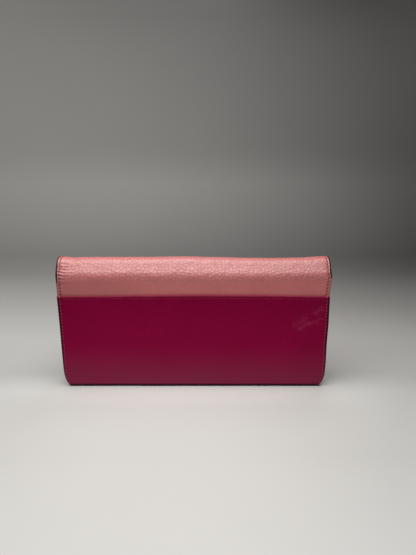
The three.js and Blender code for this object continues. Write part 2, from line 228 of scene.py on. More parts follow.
# ------------------------------------------------------------------ mesh output
def build(name, verts, faces, uv=None, attrs=None, mats=(), index=None, sharp=50, flip=False):
    """verts in mm, faces as a list of tuples or an array of quads."""
    me = bpy.data.meshes.new(name)
    if isinstance(faces, np.ndarray):
        counts = np.full(len(faces), faces.shape[1])
        loops = faces.ravel()
    else:
        counts = np.array([len(f) for f in faces])
        loops = np.concatenate([np.asarray(f) for f in faces])
    if flip:
        at = np.concatenate([[0], np.cumsum(counts)])
        if len(set(counts.tolist())) == 1:
            loops = loops.reshape(-1, counts[0])[:, ::-1].ravel()
        else:
            loops = np.concatenate([loops[a:b][::-1] for a, b in zip(at[:-1], at[1:])])
    me.vertices.add(len(verts))
    me.vertices.foreach_set("co", (np.asarray(verts) * MM).astype(np.float32).ravel())
    me.loops.add(len(loops))
    me.loops.foreach_set("vertex_index", loops.astype(np.int32))
    me.polygons.add(len(counts))
    me.polygons.foreach_set("loop_start", np.concatenate([[0], np.cumsum(counts)[:-1]]).astype(np.int32))
    me.polygons.foreach_set("loop_total", counts.astype(np.int32))
    if uv is not None:
        layer = me.uv_layers.new(name="sheet")
        layer.data.foreach_set("uv", (np.asarray(uv)[loops] * 0.01).astype(np.float32).ravel())
    for k, a in (attrs or {}).items():
        me.attributes.new(k, "FLOAT", "POINT").data.foreach_set("value", np.asarray(a, np.float32))
    for m in mats:
        me.materials.append(m)
    if index is not None:
        me.polygons.foreach_set("material_index", np.asarray(index, np.int32))
    me.update(calc_edges=True)
    me.validate()
    me.shade_smooth()
    if sharp:
        me.set_sharp_from_angle(angle=math.radians(sharp))
    ob = bpy.data.objects.new(name, me)
    bpy.context.scene.collection.objects.link(ob)
    return ob


EDGE_STEPS = np.array([0, 0.03, 0.1, 0.2, 0.34, 0.52, 0.75, 1.0, 1.3, 1.6, 1.9, 2.15, 2.4, 2.7, 3.1, 3.6, 4.2])


def rows_between(a, b, step, dense_a=False, dense_b=False, marks=()):
    """Row positions from a to b, closer together at a rounded end and at the marks."""
    s = list(np.linspace(a, b, max(2, int(round((b - a) / step)) + 1)))
    fine = [0.03, 0.1, 0.2, 0.34, 0.52, 0.75, 1.0, 1.3]
    if dense_a:
        s += [a + f for f in fine]
    if dense_b:
        s += [b - f for f in fine]
    s += list(marks)
    s = np.unique(np.round(s, 4))
    keep = [s[0]]
    must = set(np.round([a, b, *marks], 4)) | (set(np.round([a + f for f in fine], 4)) if dense_a else set()) | (
        set(np.round([b - f for f in fine], 4)) if dense_b else set()
    )
    for v in s[1:]:
        if v - keep[-1] > 0.28 * step or v in must:
            keep.append(v)
    return np.array(keep)


class Sheet:
    """A sheet of leather or cloth that follows a path. a runs across the path, in X (or in Z, for a gusset)."""

    def __init__(self, path, thick, half, plane="YZ", ends=("round", "round"), corner_r=0, v0=0.0, relief=None, pull=None, radius=None, centre=0.0, bow=None):
        self.path, self.t, self.half, self.plane = path, thick, half, plane
        self.ends, self.corner_r, self.v0 = ends, corner_r, v0
        self.relief, self.pull = relief, pull
        self.radius = radius or thick / 2
        self.centre = centre
        self.bow = bow

    def half_at(self, s):
        h = self.half(self.path.at(s)[0]) if callable(self.half) else np.full(np.shape(s), float(self.half))
        if self.corner_r:
            r, d = self.corner_r, self.path.length - np.asarray(s, float)
            if self.corner_r > 0:
                k = np.clip((r - d) / r, 0, 1)
                h = h - r * (1 - np.sqrt(np.clip(1 - k * k, 0, 1)))
        return h

    def edge(self, a, s):
        L = self.path.length
        h0 = self.half(self.path.at(s)[0]) if callable(self.half) else np.full(np.shape(s), float(self.half))
        side = h0 - np.abs(a)
        e = side.copy()
        if self.ends[0] == "round":
            e = np.minimum(e, s)
        if self.ends[1] == "round":
            e = np.minimum(e, L - s)
            if self.corner_r:
                r = self.corner_r
                inside = (side < r) & (L - s < r)
                e = np.where(inside, r - np.hypot(r - side, r - (L - s)), e)
        return np.maximum(e, 0)

    def point(self, a, s, off):
        """Place of a point at a, s, raised by off from the middle of the sheet, in mm."""
        a, s, off = np.broadcast_arrays(np.asarray(a, float), np.asarray(s, float), np.asarray(off, float))
        a, s, off = a.ravel(), s.ravel(), off.ravel()
        p, n = self.path.at(s)
        if self.pull is not None:
            off = off + self.pull(a, s, self.edge(a, s))
        q = p + n * off[:, None]
        if self.plane == "YZ":
            out = np.stack([a + self.centre, q[:, 0], q[:, 1]], 1)
        elif self.plane == "XY":
            out = np.stack([q[:, 0], q[:, 1], a + self.centre], 1)
        if self.bow is not None:
            out[:, 2] += self.bow(out[:, 0], out[:, 2])
        return warp(out)

    def mesh(self, name, rows, across, mats, attrs=None, coarse=None, sharp=50):
        s = np.asarray(rows, float)
        h = self.half_at(s)
        K = len(EDGE_STEPS)
        inner = np.linspace(-1, 1, max(3, int(round((2 * h.max() - 2 * EDGE_STEPS[-1]) / across)) + 1))
        cols = []
        for hs in h:
            k = min(1.0, hs / (2 * EDGE_STEPS[-1]))
            e = EDGE_STEPS * k
            cols.append(np.concatenate([-hs + e, inner[1:-1] * (hs - e[-1]), (hs - e)[::-1]]))
        A = np.array(cols)
        R, C = A.shape
        S = np.repeat(s[:, None], C, 1)
        E = self.edge(A.ravel(), S.ravel())
        E = E.reshape(R, C)
        E[:, 0] = E[:, -1] = 0
        if self.ends[0] == "round":
            E[0] = 0
        if self.ends[1] == "round":
            E[-1] = 0
        g = np.sqrt(np.clip(1 - (1 - np.clip(E / self.radius, 0, 1)) ** 2, 0, 1))
        rise = np.zeros((R, C))
        extra = {}
        if self.relief is not None:
            rise, extra = self.relief(A.ravel(), (S + self.v0).ravel(), S.ravel(), E.ravel())
            rise = rise.reshape(R, C)
        outer = self.point(A, S, self.t / 2 * g + rise * smooth(E / 0.5))
        under = self.point(A, S, -self.t / 2 * g)
        # vertex numbers of the under side: shared with the outer one wherever the edge is round
        num = np.arange(R * C).reshape(R, C)
        shared = np.zeros((R, C), bool)
        shared[:, 0] = shared[:, -1] = True
        if self.ends[0] == "round":
            shared[0] = True
        if self.ends[1] == "round":
            shared[-1] = True
        keep = np.ones((R, C), bool)
        if coarse:
            band_r = (np.arange(R) < 9) | (np.arange(R) >= R - 9) | (np.arange(R) % coarse == 0)
            band_c = (np.arange(C) < 11) | (np.arange(C) >= C - 11) | (np.arange(C) % coarse == 0)
            edge_r = (np.arange(R) < 9) | (np.arange(R) >= R - 9)
            edge_c = (np.arange(C) < 11) | (np.arange(C) >= C - 11)
            keep = (edge_r[:, None] & band_c[None]) | (band_r[:, None] & edge_c[None]) | (band_r[:, None] & band_c[None])
            keep[0] = keep[-1] = True
            keep[:, 0] = keep[:, -1] = True
        under_num = np.full((R, C), -1)
        under_num[shared] = num[shared]
        new = keep & ~shared
        under_num[new] = R * C + np.arange(new.sum())
        verts = np.concatenate([outer, under.reshape(R, C, 3)[new]])
        faces = [tuple(f) for f in np.stack([num[:-1, :-1], num[:-1, 1:], num[1:, 1:], num[1:, :-1]], -1).reshape(-1, 4)]
        if coarse:
            ids = under_num[keep]
            pts = np.stack([A[keep], S[keep]], 1)
            where = {int(i): k for k, i in enumerate(ids)}
            loop = list(under_num[0, :]) + list(under_num[1:, -1]) + list(under_num[-1, -2::-1]) + list(under_num[-2:0:-1, 0])
            loop = [where[int(i)] for i in loop]
            ring = [(loop[i], loop[(i + 1) % len(loop)]) for i in range(len(loop))]
            got = delaunay_2d_cdt([Vector(p) for p in pts], ring, [], 1, 1e-7)
            if len(got[0]) != len(pts):
                raise RuntimeError(f"{name}: the under side could not be triangulated")
            orig = [o[0] for o in got[3]]
            tri = [tuple(int(ids[orig[i]]) for i in f) for f in got[2]]
            q = pts[orig]
            f0 = got[2][0]
            area = (q[f0[1]][0] - q[f0[0]][0]) * (q[f0[2]][1] - q[f0[0]][1]) - (q[f0[1]][1] - q[f0[0]][1]) * (q[f0[2]][0] - q[f0[0]][0])
            faces += [t[::-1] if area > 0 else t for t in tri]
        else:
            u = under_num
            quads = np.stack([u[:-1, :-1], u[1:, :-1], u[1:, 1:], u[:-1, 1:]], -1).reshape(-1, 4)
            faces += [tuple(dict.fromkeys(f.tolist())) for f in quads]
            faces = [f for f in faces if len(f) > 2]
        for row, end in ((0, 0), (R - 1, 1)):  # flat cut ends
            if self.ends[end] != "round":
                o, u = num[row], under_num[row]
                for j in range(C - 1):
                    f = (o[j + 1], o[j], u[j], u[j + 1]) if end == 0 else (o[j], o[j + 1], u[j + 1], u[j])
                    f = tuple(dict.fromkeys(int(i) for i in f))
                    if len(f) > 2:
                        faces.append(f)
        AA = np.concatenate([A.ravel(), A[new]])
        VV = np.concatenate([(S + self.v0).ravel(), (S + self.v0)[new]])
        EE = np.concatenate([E.ravel(), E[new]])
        data = {"edge": EE, "under": np.concatenate([np.zeros(R * C), np.ones(new.sum())])}
        for k, val in extra.items():
            data[k] = np.concatenate([val, np.zeros(new.sum())])
        # which way do the first faces look?
        mid = (R // 2) * C + C // 2
        a, b, c = verts[mid], verts[mid + 1], verts[mid + C]
        n = np.cross(b - a, c - a)
        index = None
        if len(mats) > 1:
            paint = data["paint"]
            index = [1 if sum(paint[i] for i in f) > 0.5 * len(f) else 0 for f in faces]
        want = self.point(A[R // 2, C // 2], S[R // 2, C // 2], 1.0)[0] - self.point(A[R // 2, C // 2], S[R // 2, C // 2], 0.0)[0]
        return build(name, verts, faces, np.stack([AA, VV], 1), data, mats, index, sharp=sharp, flip=float(n @ want) < 0)


# ------------------------------------------------------------------ materials
def srgb(r, g, b):
    f = lambda c: c / 12.92 if c <= 0.04045 else ((c + 0.055) / 1.055) ** 2.4
    return tuple(f(c / 255) for c in (r, g, b)) + (1.0,)


class Mat:
    def __init__(self, name, **principled):
        self.m = bpy.data.materials.new(name)
        self.m.use_nodes = True
        self.t = self.m.node_tree
        self.t.nodes.clear()
        self.out = self.t.nodes.new("ShaderNodeOutputMaterial")
        self.b = self.t.nodes.new("ShaderNodeBsdfPrincipled")
        self.t.links.new(self.b.outputs[0], self.out.inputs[0])
        for k, v in principled.items():
            self.b.inputs[k.replace("_", " ")].default_value = v

    def n(self, kind, **kw):
        node = self.t.nodes.new(kind)
        for k, v in kw.items():
            if k.startswith("i_"):
                key = k[2:].replace("_", " ")
                key = int(key) if key.isdigit() else key
                self.put(v, node.inputs[key])
            else:
                setattr(node, k, v)
        return node

    def put(self, v, socket):
        if isinstance(v, bpy.types.NodeSocket):
            self.t.links.new(v, socket)
        else:
            socket.default_value = v

    def uv(self, sx=1.0, sy=None):
        u = self.n("ShaderNodeUVMap", uv_map="sheet")
        return self.n("ShaderNodeMapping", i_Vector=u.outputs[0], i_Scale=(sx, sy or sx, 1)).outputs[0]

    def attr(self, name):
        return self.n("ShaderNodeAttribute", attribute_name=name).outputs["Fac"]

    def noise(self, vec, scale, detail=3, rough=0.55, distortion=0.0):
        return self.n("ShaderNodeTexNoise", i_Vector=vec, i_Scale=scale, i_Detail=detail, i_Roughness=rough, i_Distortion=distortion).outputs["Fac"]

    def voronoi(self, vec, scale, feature="F1", randomness=1.0):
        return self.n("ShaderNodeTexVoronoi", feature=feature, i_Vector=vec, i_Scale=scale, i_Randomness=randomness).outputs["Distance"]

    def math(self, op, a, b=0.0, c=0.0, clamp=False):
        return self.n("ShaderNodeMath", operation=op, use_clamp=clamp, i_0=a, i_1=b, i_2=c).outputs[0]

    def remap(self, v, a, b, c=0.0, d=1.0, soft=False):
        return self.n("ShaderNodeMapRange", interpolation_type="SMOOTHSTEP" if soft else "LINEAR", i_Value=v, i_1=a, i_2=b, i_3=c, i_4=d).outputs[0]

    def mix(self, f, a, b, blend="MIX"):
        node = self.n("ShaderNodeMix", data_type="RGBA", blend_type=blend)
        self.put(f, node.inputs[0])
        self.put(a, node.inputs[6])
        self.put(b, node.inputs[7])
        return node.outputs[2]

    def bump(self, height, distance, strength=1.0, normal=None):
        node = self.n("ShaderNodeBump", i_Height=height, i_Distance=distance, i_Strength=strength)
        if normal is not None:
            self.put(normal, node.inputs["Normal"])
        return node.outputs[0]

    def finish(self, color=None, rough=None, normal=None, metallic=None):
        for v, k in ((color, "Base Color"), (rough, "Roughness"), (normal, "Normal"), (metallic, "Metallic")):
            if v is not None:
                self.put(v, self.b.inputs[k])
        return self.m


def rose_leather():
    k = Mat("rose_leather", Specular_IOR_Level=1.0, IOR=1.62)
    uv = k.uv()
    crease = k.attr("crease")
    edge = k.attr("edge")
    fine = k.voronoi(uv, 120, "DISTANCE_TO_EDGE")
    fine2 = k.voronoi(uv, 210, "DISTANCE_TO_EDGE")
    broad = k.noise(uv, 5.5, 3, 0.5)
    mid = k.noise(uv, 42, 3, 0.6)
    base = k.mix(k.remap(broad, 0.32, 0.7), ROSE_A, ROSE_B)
    base = k.mix(k.remap(mid, 0.35, 0.72, 0, 0.6), base, ROSE_C)
    # painted shade in the creases of the grain, strongest on the fold
    crs = k.math("MULTIPLY", k.remap(crease, 0.2, 0.95, 0, 1, True), k.remap(k.attr("bend"), 0, 1, 0.16, 0.56))
    base = k.mix(crs, base, ROSE_CREASE)
    # painted shade in the furrows between the stitch puckers
    base = k.mix(k.math("MULTIPLY", k.attr("furrow"), 0.75), base, ROSE_FURROW)
    # painted shade in the fine creases of the grain, stronger on the fold
    fcr = k.math("MULTIPLY", k.remap(fine, 0.0, 0.10, 1, 0), k.remap(k.attr("bend"), 0, 1, 0.07, 0.2))
    base = k.mix(fcr, base, ROSE_CREASE)
    # handling marks towards the edges
    grime = k.math("MULTIPLY", k.remap(edge, 0.6, 4.0, 0.34, 0.0), k.remap(k.noise(uv, 30, 4), 0.3, 0.7))
    base = k.mix(grime, base, ROSE_DIRT)
    # painted shade: away from the fold the leather is painted darker and redder than on the lit fold
    base = k.mix(k.math("SUBTRACT", 1.0, k.attr("bend")), base, (0.96, 0.80, 0.80, 1), "MULTIPLY")
    # painted shade: the leather darkened towards the left below the fold, and towards the right on the fold, as the
    # light falls off
    base = k.mix(1.0, base, k.attr("tone"), "MULTIPLY")
    # painted shade in the needle holes
    base = k.mix(k.attr("hole"), base, ROSE_HOLE)
    paint = k.math("SUBTRACT", k.attr("paint"), k.remap(k.noise(uv, 90, 3), 0.3, 0.7, -0.12, 0.12), clamp=True)
    paint = k.remap(paint, 0.35, 0.65)
    base = k.mix(paint, base, EDGE_BROWN)
    base = k.mix(k.attr("under"), base, SUEDE_ROSE)
    rough = k.math("ADD", k.remap(k.noise(uv, 16, 4), 0.3, 0.7, 0.35, 0.43), k.math("MULTIPLY", crease, 0.22))
    rough = k.math("ADD", rough, k.math("MULTIPLY", k.attr("under"), 0.35))
    h = k.math("ADD", k.math("MULTIPLY", k.remap(fine, 0, 0.22), 0.55), k.math("MULTIPLY", k.remap(fine2, 0, 0.3), 0.25))
    h = k.math("ADD", h, k.math("MULTIPLY", k.noise(uv, 260, 2), 0.25))
    return k.finish(base, rough, k.bump(h, 0.00006, 0.75))


ROSE_A = srgb(222, 128, 126)
ROSE_B = srgb(228, 136, 132)
ROSE_C = srgb(216, 121, 121)
ROSE_CREASE = srgb(168, 76, 74)
ROSE_FURROW = srgb(132, 52, 48)
ROSE_DIRT = srgb(168, 92, 84)
ROSE_HOLE = srgb(58, 20, 18)
EDGE_BROWN = srgb(58, 18, 16)
EDGE_BROWN2 = srgb(84, 34, 28)
SUEDE = srgb(150, 112, 100)
SUEDE_ROSE = srgb(156, 118, 106)
MAG_A = (0.294, 0.0003, 0.048, 1)
MAG_B = (0.320, 0.0005, 0.055, 1)
MAG_DARK = (0.150, 0.0002, 0.022, 1)
MAG_EDGE = (0.045, 0.0008, 0.010, 1)
MAG_SCUFF = (0.44, 0.065, 0.16, 1)
# painted reflection of the bright floor
MAG_FLOOR_REFLECTION = (0.255, 0.0285, 0.076, 1)
# partly wear, partly painted highlight
MAG_WEAR_AND_HIGHLIGHT = (0.37, 0.032, 0.088, 1)


def magenta_leather(name="magenta_leather", a=None, b=None, spec=0.06, rough0=0.42):
    k = Mat(name, Specular_IOR_Level=spec)
    uv = k.uv()
    edge = k.attr("edge")
    broad = k.noise(uv, 3.5, 3, 0.5)
    mid = k.noise(uv, 34, 4, 0.6)
    grain = k.voronoi(uv, 150, "DISTANCE_TO_EDGE")
    pores = k.noise(uv, 330, 2)
    base = k.mix(k.remap(broad, 0.3, 0.7), a or MAG_A, b or MAG_B)
    base = k.mix(k.remap(mid, 0.4, 0.75, 0, 0.25), base, MAG_DARK)
    # darker in the grooves and stitch lines; along the pocket's top and towards its sides this also paints shade
    base = k.mix(k.math("MULTIPLY", k.attr("groove"), 0.85), base, MAG_DARK)
    scuff = k.math("MULTIPLY", k.attr("scuff"), k.remap(k.noise(uv, 130, 4, 0.7), 0.36, 0.58, 0.15, 1))
    # painted reflection of the bright floor: the lower part of the leather paler and greyer
    base = k.mix(k.attr("rub"), base, MAG_FLOOR_REFLECTION)
    base = k.mix(scuff, base, MAG_SCUFF)
    # the pocket's top edge and the ridge under its crease painted lighter: partly wear, partly painted highlight
    base = k.mix(k.attr("wear"), base, MAG_WEAR_AND_HIGHLIGHT)
    # painted shade in the needle holes, and a painted contact shadow along the bottom edge
    base = k.mix(k.attr("hole"), base, MAG_EDGE)
    paint = k.math("SUBTRACT", k.attr("paint"), k.remap(k.noise(uv, 90, 3), 0.3, 0.7, -0.12, 0.12), clamp=True)
    base = k.mix(k.remap(paint, 0.35, 0.65), base, MAG_EDGE)
    base = k.mix(k.attr("under"), base, SUEDE)
    rough = k.remap(k.noise(uv, 14, 4), 0.3, 0.7, rough0 - 0.04, rough0 + 0.05)
    rough = k.math("ADD", rough, k.math("MULTIPLY", scuff, 0.12))
    rough = k.math("ADD", rough, k.math("MULTIPLY", k.attr("under"), 0.4))
    h = k.math("ADD", k.math("MULTIPLY", k.remap(grain, 0, 0.25), 0.5), k.math("MULTIPLY", pores, 0.5))
    return k.finish(base, rough, k.bump(h, 0.000035, 0.6))


def edge_paint():
    """The dyed, burnished rim of the rose hide."""
    k = Mat("edge_paint", Specular_IOR_Level=0.12)
    uv = k.uv()
    base = k.mix(k.remap(k.noise(uv, 60, 4), 0.35, 0.7), EDGE_BROWN, EDGE_BROWN2)
    return k.finish(base, k.remap(k.noise(uv, 40, 3), 0.3, 0.7, 0.5, 0.65), k.bump(k.noise(uv, 200, 3), 0.00004, 0.5))


def thread_material(name, colour, dark):
    k = Mat(name, Specular_IOR_Level=0.4)
    uv = k.uv()
    twist = k.n("ShaderNodeTexWave", wave_type="BANDS", bands_direction="DIAGONAL", i_Vector=uv, i_Scale=120.0, i_Distortion=1.0).outputs["Fac"]
    base = k.mix(k.remap(twist, 0.2, 0.8), dark, colour)
    return k.finish(base, 0.55, k.bump(twist, 0.00005, 0.6))


def plain_dark(name, colour):
    k = Mat(name, Specular_IOR_Level=0.2)
    uv = k.uv()
    base = k.mix(k.noise(uv, 200, 2), colour, tuple(c * 0.6 for c in colour[:3]) + (1,))
    return k.finish(base, 0.8)


def cloth_lining():
    k = Mat("lining_fabric", Specular_IOR_Level=0.3, Sheen_Weight=0.25, Sheen_Roughness=0.4)
    uv = k.uv()
    w1 = k.n("ShaderNodeTexWave", wave_type="BANDS", bands_direction="X", i_Vector=uv, i_Scale=95.0, i_Distortion=0.6, i_Detail=2.0).outputs["Fac"]
    w2 = k.n("ShaderNodeTexWave", wave_type="BANDS", bands_direction="Y", i_Vector=uv, i_Scale=95.0, i_Distortion=0.6, i_Detail=2.0).outputs["Fac"]
    weave = k.math("MULTIPLY", w1, w2)
    base = k.mix(k.remap(k.noise(uv, 9, 4), 0.3, 0.7), srgb(176, 140, 128), srgb(190, 156, 143))
    base = k.mix(k.remap(weave, 0.0, 0.7), srgb(150, 116, 106), base)
    return k.finish(base, 0.78, k.bump(weave, 0.00008, 0.7))


def tape_material():
    k = Mat("zip_tape", Specular_IOR_Level=0.25, Sheen_Weight=0.2)
    uv = k.uv()
    w = k.n("ShaderNodeTexWave", wave_type="BANDS", bands_direction="DIAGONAL", i_Vector=uv, i_Scale=110.0, i_Distortion=0.4).outputs["Fac"]
    base = k.mix(w, srgb(70, 12, 36), srgb(96, 20, 50))
    return k.finish(base, 0.85, k.bump(w, 0.00008, 0.8))


def board_material():
    k = Mat("stiffener_board", Specular_IOR_Level=0.2)
    uv = k.n("ShaderNodeTexCoord").outputs["Object"]
    base = k.mix(k.noise(uv, 900, 4), srgb(150, 136, 112), srgb(176, 162, 138))
    return k.finish(base, 0.9, k.bump(k.noise(uv, 2500, 2), 0.00005, 0.5))


def metal_material():
    k = Mat("metal_fittings", Metallic=1.0)
    uv = k.n("ShaderNodeTexCoord").outputs["Object"]
    base = k.mix(k.remap(k.noise(uv, 420, 4), 0.35, 0.7), srgb(222, 190, 138), srgb(206, 168, 112))
    rough = k.remap(k.noise(uv, 1300, 4), 0.3, 0.7, 0.20, 0.34)
    return k.finish(base, rough, k.bump(k.noise(uv, 3000, 2), 0.00001, 0.35))


def coil_material():
    k = Mat("zip_coil", Specular_IOR_Level=0.5)
    uv = k.n("ShaderNodeTexCoord").outputs["Object"]
    base = k.mix(k.noise(uv, 800, 3), srgb(92, 16, 48), srgb(116, 26, 62))
    return k.finish(base, 0.42, k.bump(k.noise(uv, 4000, 2), 0.00001, 0.4))


M_ROSE = rose_leather()
M_EDGE = edge_paint()
M_MAG = magenta_leather()
M_SLOT = magenta_leather("slot_leather", (0.26, 0.0025, 0.055, 1), (0.30, 0.004, 0.065, 1), 0.35, 0.45)
M_LINING = cloth_lining()
M_TAPE = tape_material()
M_BOARD = board_material()
M_METAL = metal_material()
M_COIL = coil_material()
M_THREAD_ROSE = thread_material("thread_rose", srgb(216, 132, 127), srgb(172, 88, 84))
M_THREAD_MAG = thread_material("thread_magenta", srgb(196, 88, 124), srgb(132, 36, 70))
# painted shade: the dark inside of the needle holes
M_HOLE = plain_dark("needle_hole", srgb(40, 12, 12))

# ------------------------------------------------------------------ where the stitches run
STITCH_IN = 2.3  # from the edge, on the rose leather
STITCH_IN_MAG = 2.15


def stitch_marks(line, s, pitch, half_len):
    """How near a point is to the stitch line, and to a needle hole, as 0 to 1."""
    groove = np.exp(-((line / 0.42) ** 2))
    phase = ((s + 0.25 * line) / pitch) % 1.0
    d = np.minimum(phase, 1 - phase) * pitch
    hole = np.exp(-(((line / max(0.3, half_len)) ** 2) + ((d / 0.42) ** 2)))
    return groove, hole


# The back fold starts with a tight bend, runs up in a flatter slope and rounds over at the top.
KINK, KINK_R, TOP_R, SLOPE = Z_FOLD - 0.6, 9.0, 6.0, math.radians(34)


def fold_corners(y, z_top, inset=0.0):
    """The two corners of the back fold, moved in by that much from the middle of the leather."""
    y0, z0 = y + inset * math.cos(SLOPE), KINK - inset * math.sin(SLOPE)
    zt = z_top - inset
    low = (y + inset, z0 + (y + inset - y0) / math.tan(SLOPE))
    return low, (y0 + (zt - z0) * math.tan(SLOPE), zt)


BACK_LINE = [(Y_BACK, 3.4), *fold_corners(Y_BACK, Z_SPINE), (Y_SPINE_MID, Z_SPINE)]
L_BACK = Path(BACK_LINE, [0, KINK_R, TOP_R, 0], side=1).length
S_SEAM = L_BACK  # the hide's v at the middle of the spine
V_KINK = KINK - KINK_R * math.tan(SLOPE / 2) - 3.4
L_FRONT_FOLD = (Y_FLAP - R_MID - Y_SPINE_MID) + R_MID * math.pi / 2


def rose_relief(a, v, s, e):
    p = pebble(a, v)
    d = v - V_KINK  # how far past the start of the back fold
    end = smooth((S_SEAM + L_FRONT_FOLD + 2 - v) / 6)
    on_fold = smooth((d + 2.6) / 2.6) * end
    grainy = smooth((d + 0.6) / 3.0) * end
    broken = 0.80 + 0.34 * value_noise(a, v, 9, 27)
    crown = smooth((d - 7.0) / 4.0) * smooth((S_SEAM + 4 - v) / 6)  # pulled flatter along the top
    rise = (p - 0.75) * (0.045 + 0.30 * grainy * broken * (1 - 0.80 * crown))
    rise = rise + (0.05 + 0.09 * on_fold) * fbm(a, v, 17, 21) + (0.015 + 0.08 * grainy) * fbm(a * 0.8, v, 5, 22)
    near = np.exp(-((d / 3.2) ** 2))
    rise = rise + near * (0.34 * value_noise(a, v * 0.5, 17, 23) + 0.17 * value_noise(a, v, 6.5, 24))
    # puckers that the stitching draws in across the fold
    side = HALF - np.abs(a)
    left = a < 0
    reach = np.where(left, 14.0, 7.5) * (1 + 0.45 * value_noise(v, v * 0 + np.where(left, 3.0, 9.0), 2.1, 31))
    strength = np.where(left, 0.40, 0.20)
    pucker = np.cos(2 * np.pi * (v / STITCH + 0.22 * value_noise(a * 0.7, v, 5, 33)))
    pucker = pucker * (0.75 + 0.6 * value_noise(a * 0.35, v, 2.3, 34))
    zone = smooth((d + 4.0) / 3.0) * smooth((13.5 - d) / 4.0) * smooth(1 - side / reach) * smooth((side - 0.9) / 1.2)
    rise = rise + strength * pucker * zone
    # furrows between the puckers, which the material paints darker as shade
    furrow = smooth((-pucker - 0.05) / 0.75) * zone * np.where(left, 1.0, 0.6)
    groove, hole = stitch_marks(side - STITCH_IN, v, STITCH, 0.70)
    rise = rise - 0.10 * groove - 0.24 * hole
    # how deep a point lies in the grain's creases; the material paints it darker as shade, more on the fold
    crease = np.clip(1 - p, 0, 1) * (0.4 + 0.6 * smooth((d + 3.6) / 3.0) * end)
    soft = smooth((e - 0.8) / 1.0)
    rim = smooth((d + np.where(left, 3.6, 0.2)) / 2.0) * end
    width = 0.32 + (0.80 + 0.28 * value_noise(v, v * 0 + np.where(left, 5.0, 15.0), 3.1, 35)) * rim
    # painted shade across the width: below the fold darker towards the left and a little towards the right, on the fold
    # darker towards the right
    tone = 1 - (1 - on_fold) * (0.19 * smooth((-a - 15) / 65) + 0.04 * smooth((a - 20) / 60)) - 0.09 * on_fold * smooth((a - 10) / 75)
    paint = smooth((width + 0.18 - e) / 0.3)
    return rise * smooth(e / 1.2), {"crease": crease * soft, "furrow": furrow * soft, "paint": paint, "hole": hole, "groove": groove, "bend": on_fold, "tone": tone}


# ------------------------------------------------------------------ rose leather: back panel, fold and flap, one hide
back_path = Path(BACK_LINE, [0, KINK_R, TOP_R, 0], side=1)
back_sheet = Sheet(back_path, T_ROSE, lambda p: body_half(p[:, 1]), ends=("round", "cut"), relief=rose_relief)
STEP = 0.5
hidden = POCKET_TOP - 3.4 - 4
rows = np.concatenate([rows_between(0, hidden, 4.0, dense_a=True), rows_between(hidden, L_BACK, STEP)[1:]])
back = back_sheet.mesh("back_leather", rows, 0.55, [M_ROSE, M_EDGE], coarse=8)
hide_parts("back_panel")

flap_path = Path([(Y_SPINE_MID, Z_SPINE), (Y_FLAP, Z_SPINE), (Y_FLAP, FLAP_BOTTOM)], [0, R_MID, 0], side=1)


def flap_relief(a, v, s, e):
    rise, extra = rose_relief(a, v, s, e)
    d = flap_path.length - s
    low = d < FLAP_R + 4
    line = e - STITCH_IN
    # along the bottom the stitches run with a
    groove, hole = stitch_marks(np.where(d < FLAP_R, line, 9), a, STITCH, 0)
    rise = rise - 0.16 * groove * smooth((FLAP_R - d) / 3)
    return rise, extra


flap_sheet = Sheet(flap_path, T_ROSE, HALF, ends=("cut", "round"), corner_r=FLAP_R, v0=S_SEAM, relief=flap_relief)
lf = flap_path.length
rows = np.concatenate([
    rows_between(0, lf - FLAP_R, 0.6),
    lf - FLAP_R + FLAP_R * np.sin(np.linspace(0, math.pi / 2, 34))[1:],
])
flap = flap_sheet.mesh("flap_leather_shell", rows, 0.55, [M_ROSE, M_EDGE], coarse=8)
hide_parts("spine_leather", "flap_leather")

# ------------------------------------------------------------------ magenta leather: slip pocket, bottom and front panel
pocket_path = Path([(Y_POCKET, POCKET_TOP), (Y_POCKET, 1.5), (-8.6, 0.55), (-2.0, 0.55)], [0, 0.75, 2.0, 0], side=-1)
SCUFFS = []


def segment_distance(x, z, pts):
    best = np.full(x.shape, 99.0)
    for (x0, z0), (x1, z1) in zip(pts[:-1], pts[1:]):
        d = np.array([x1 - x0, z1 - z0])
        t = np.clip(((x - x0) * d[0] + (z - z0) * d[1]) / max(1e-9, d @ d), 0, 1)
        best = np.minimum(best, np.hypot(x - x0 - t * d[0], z - z0 - t * d[1]))
    return best


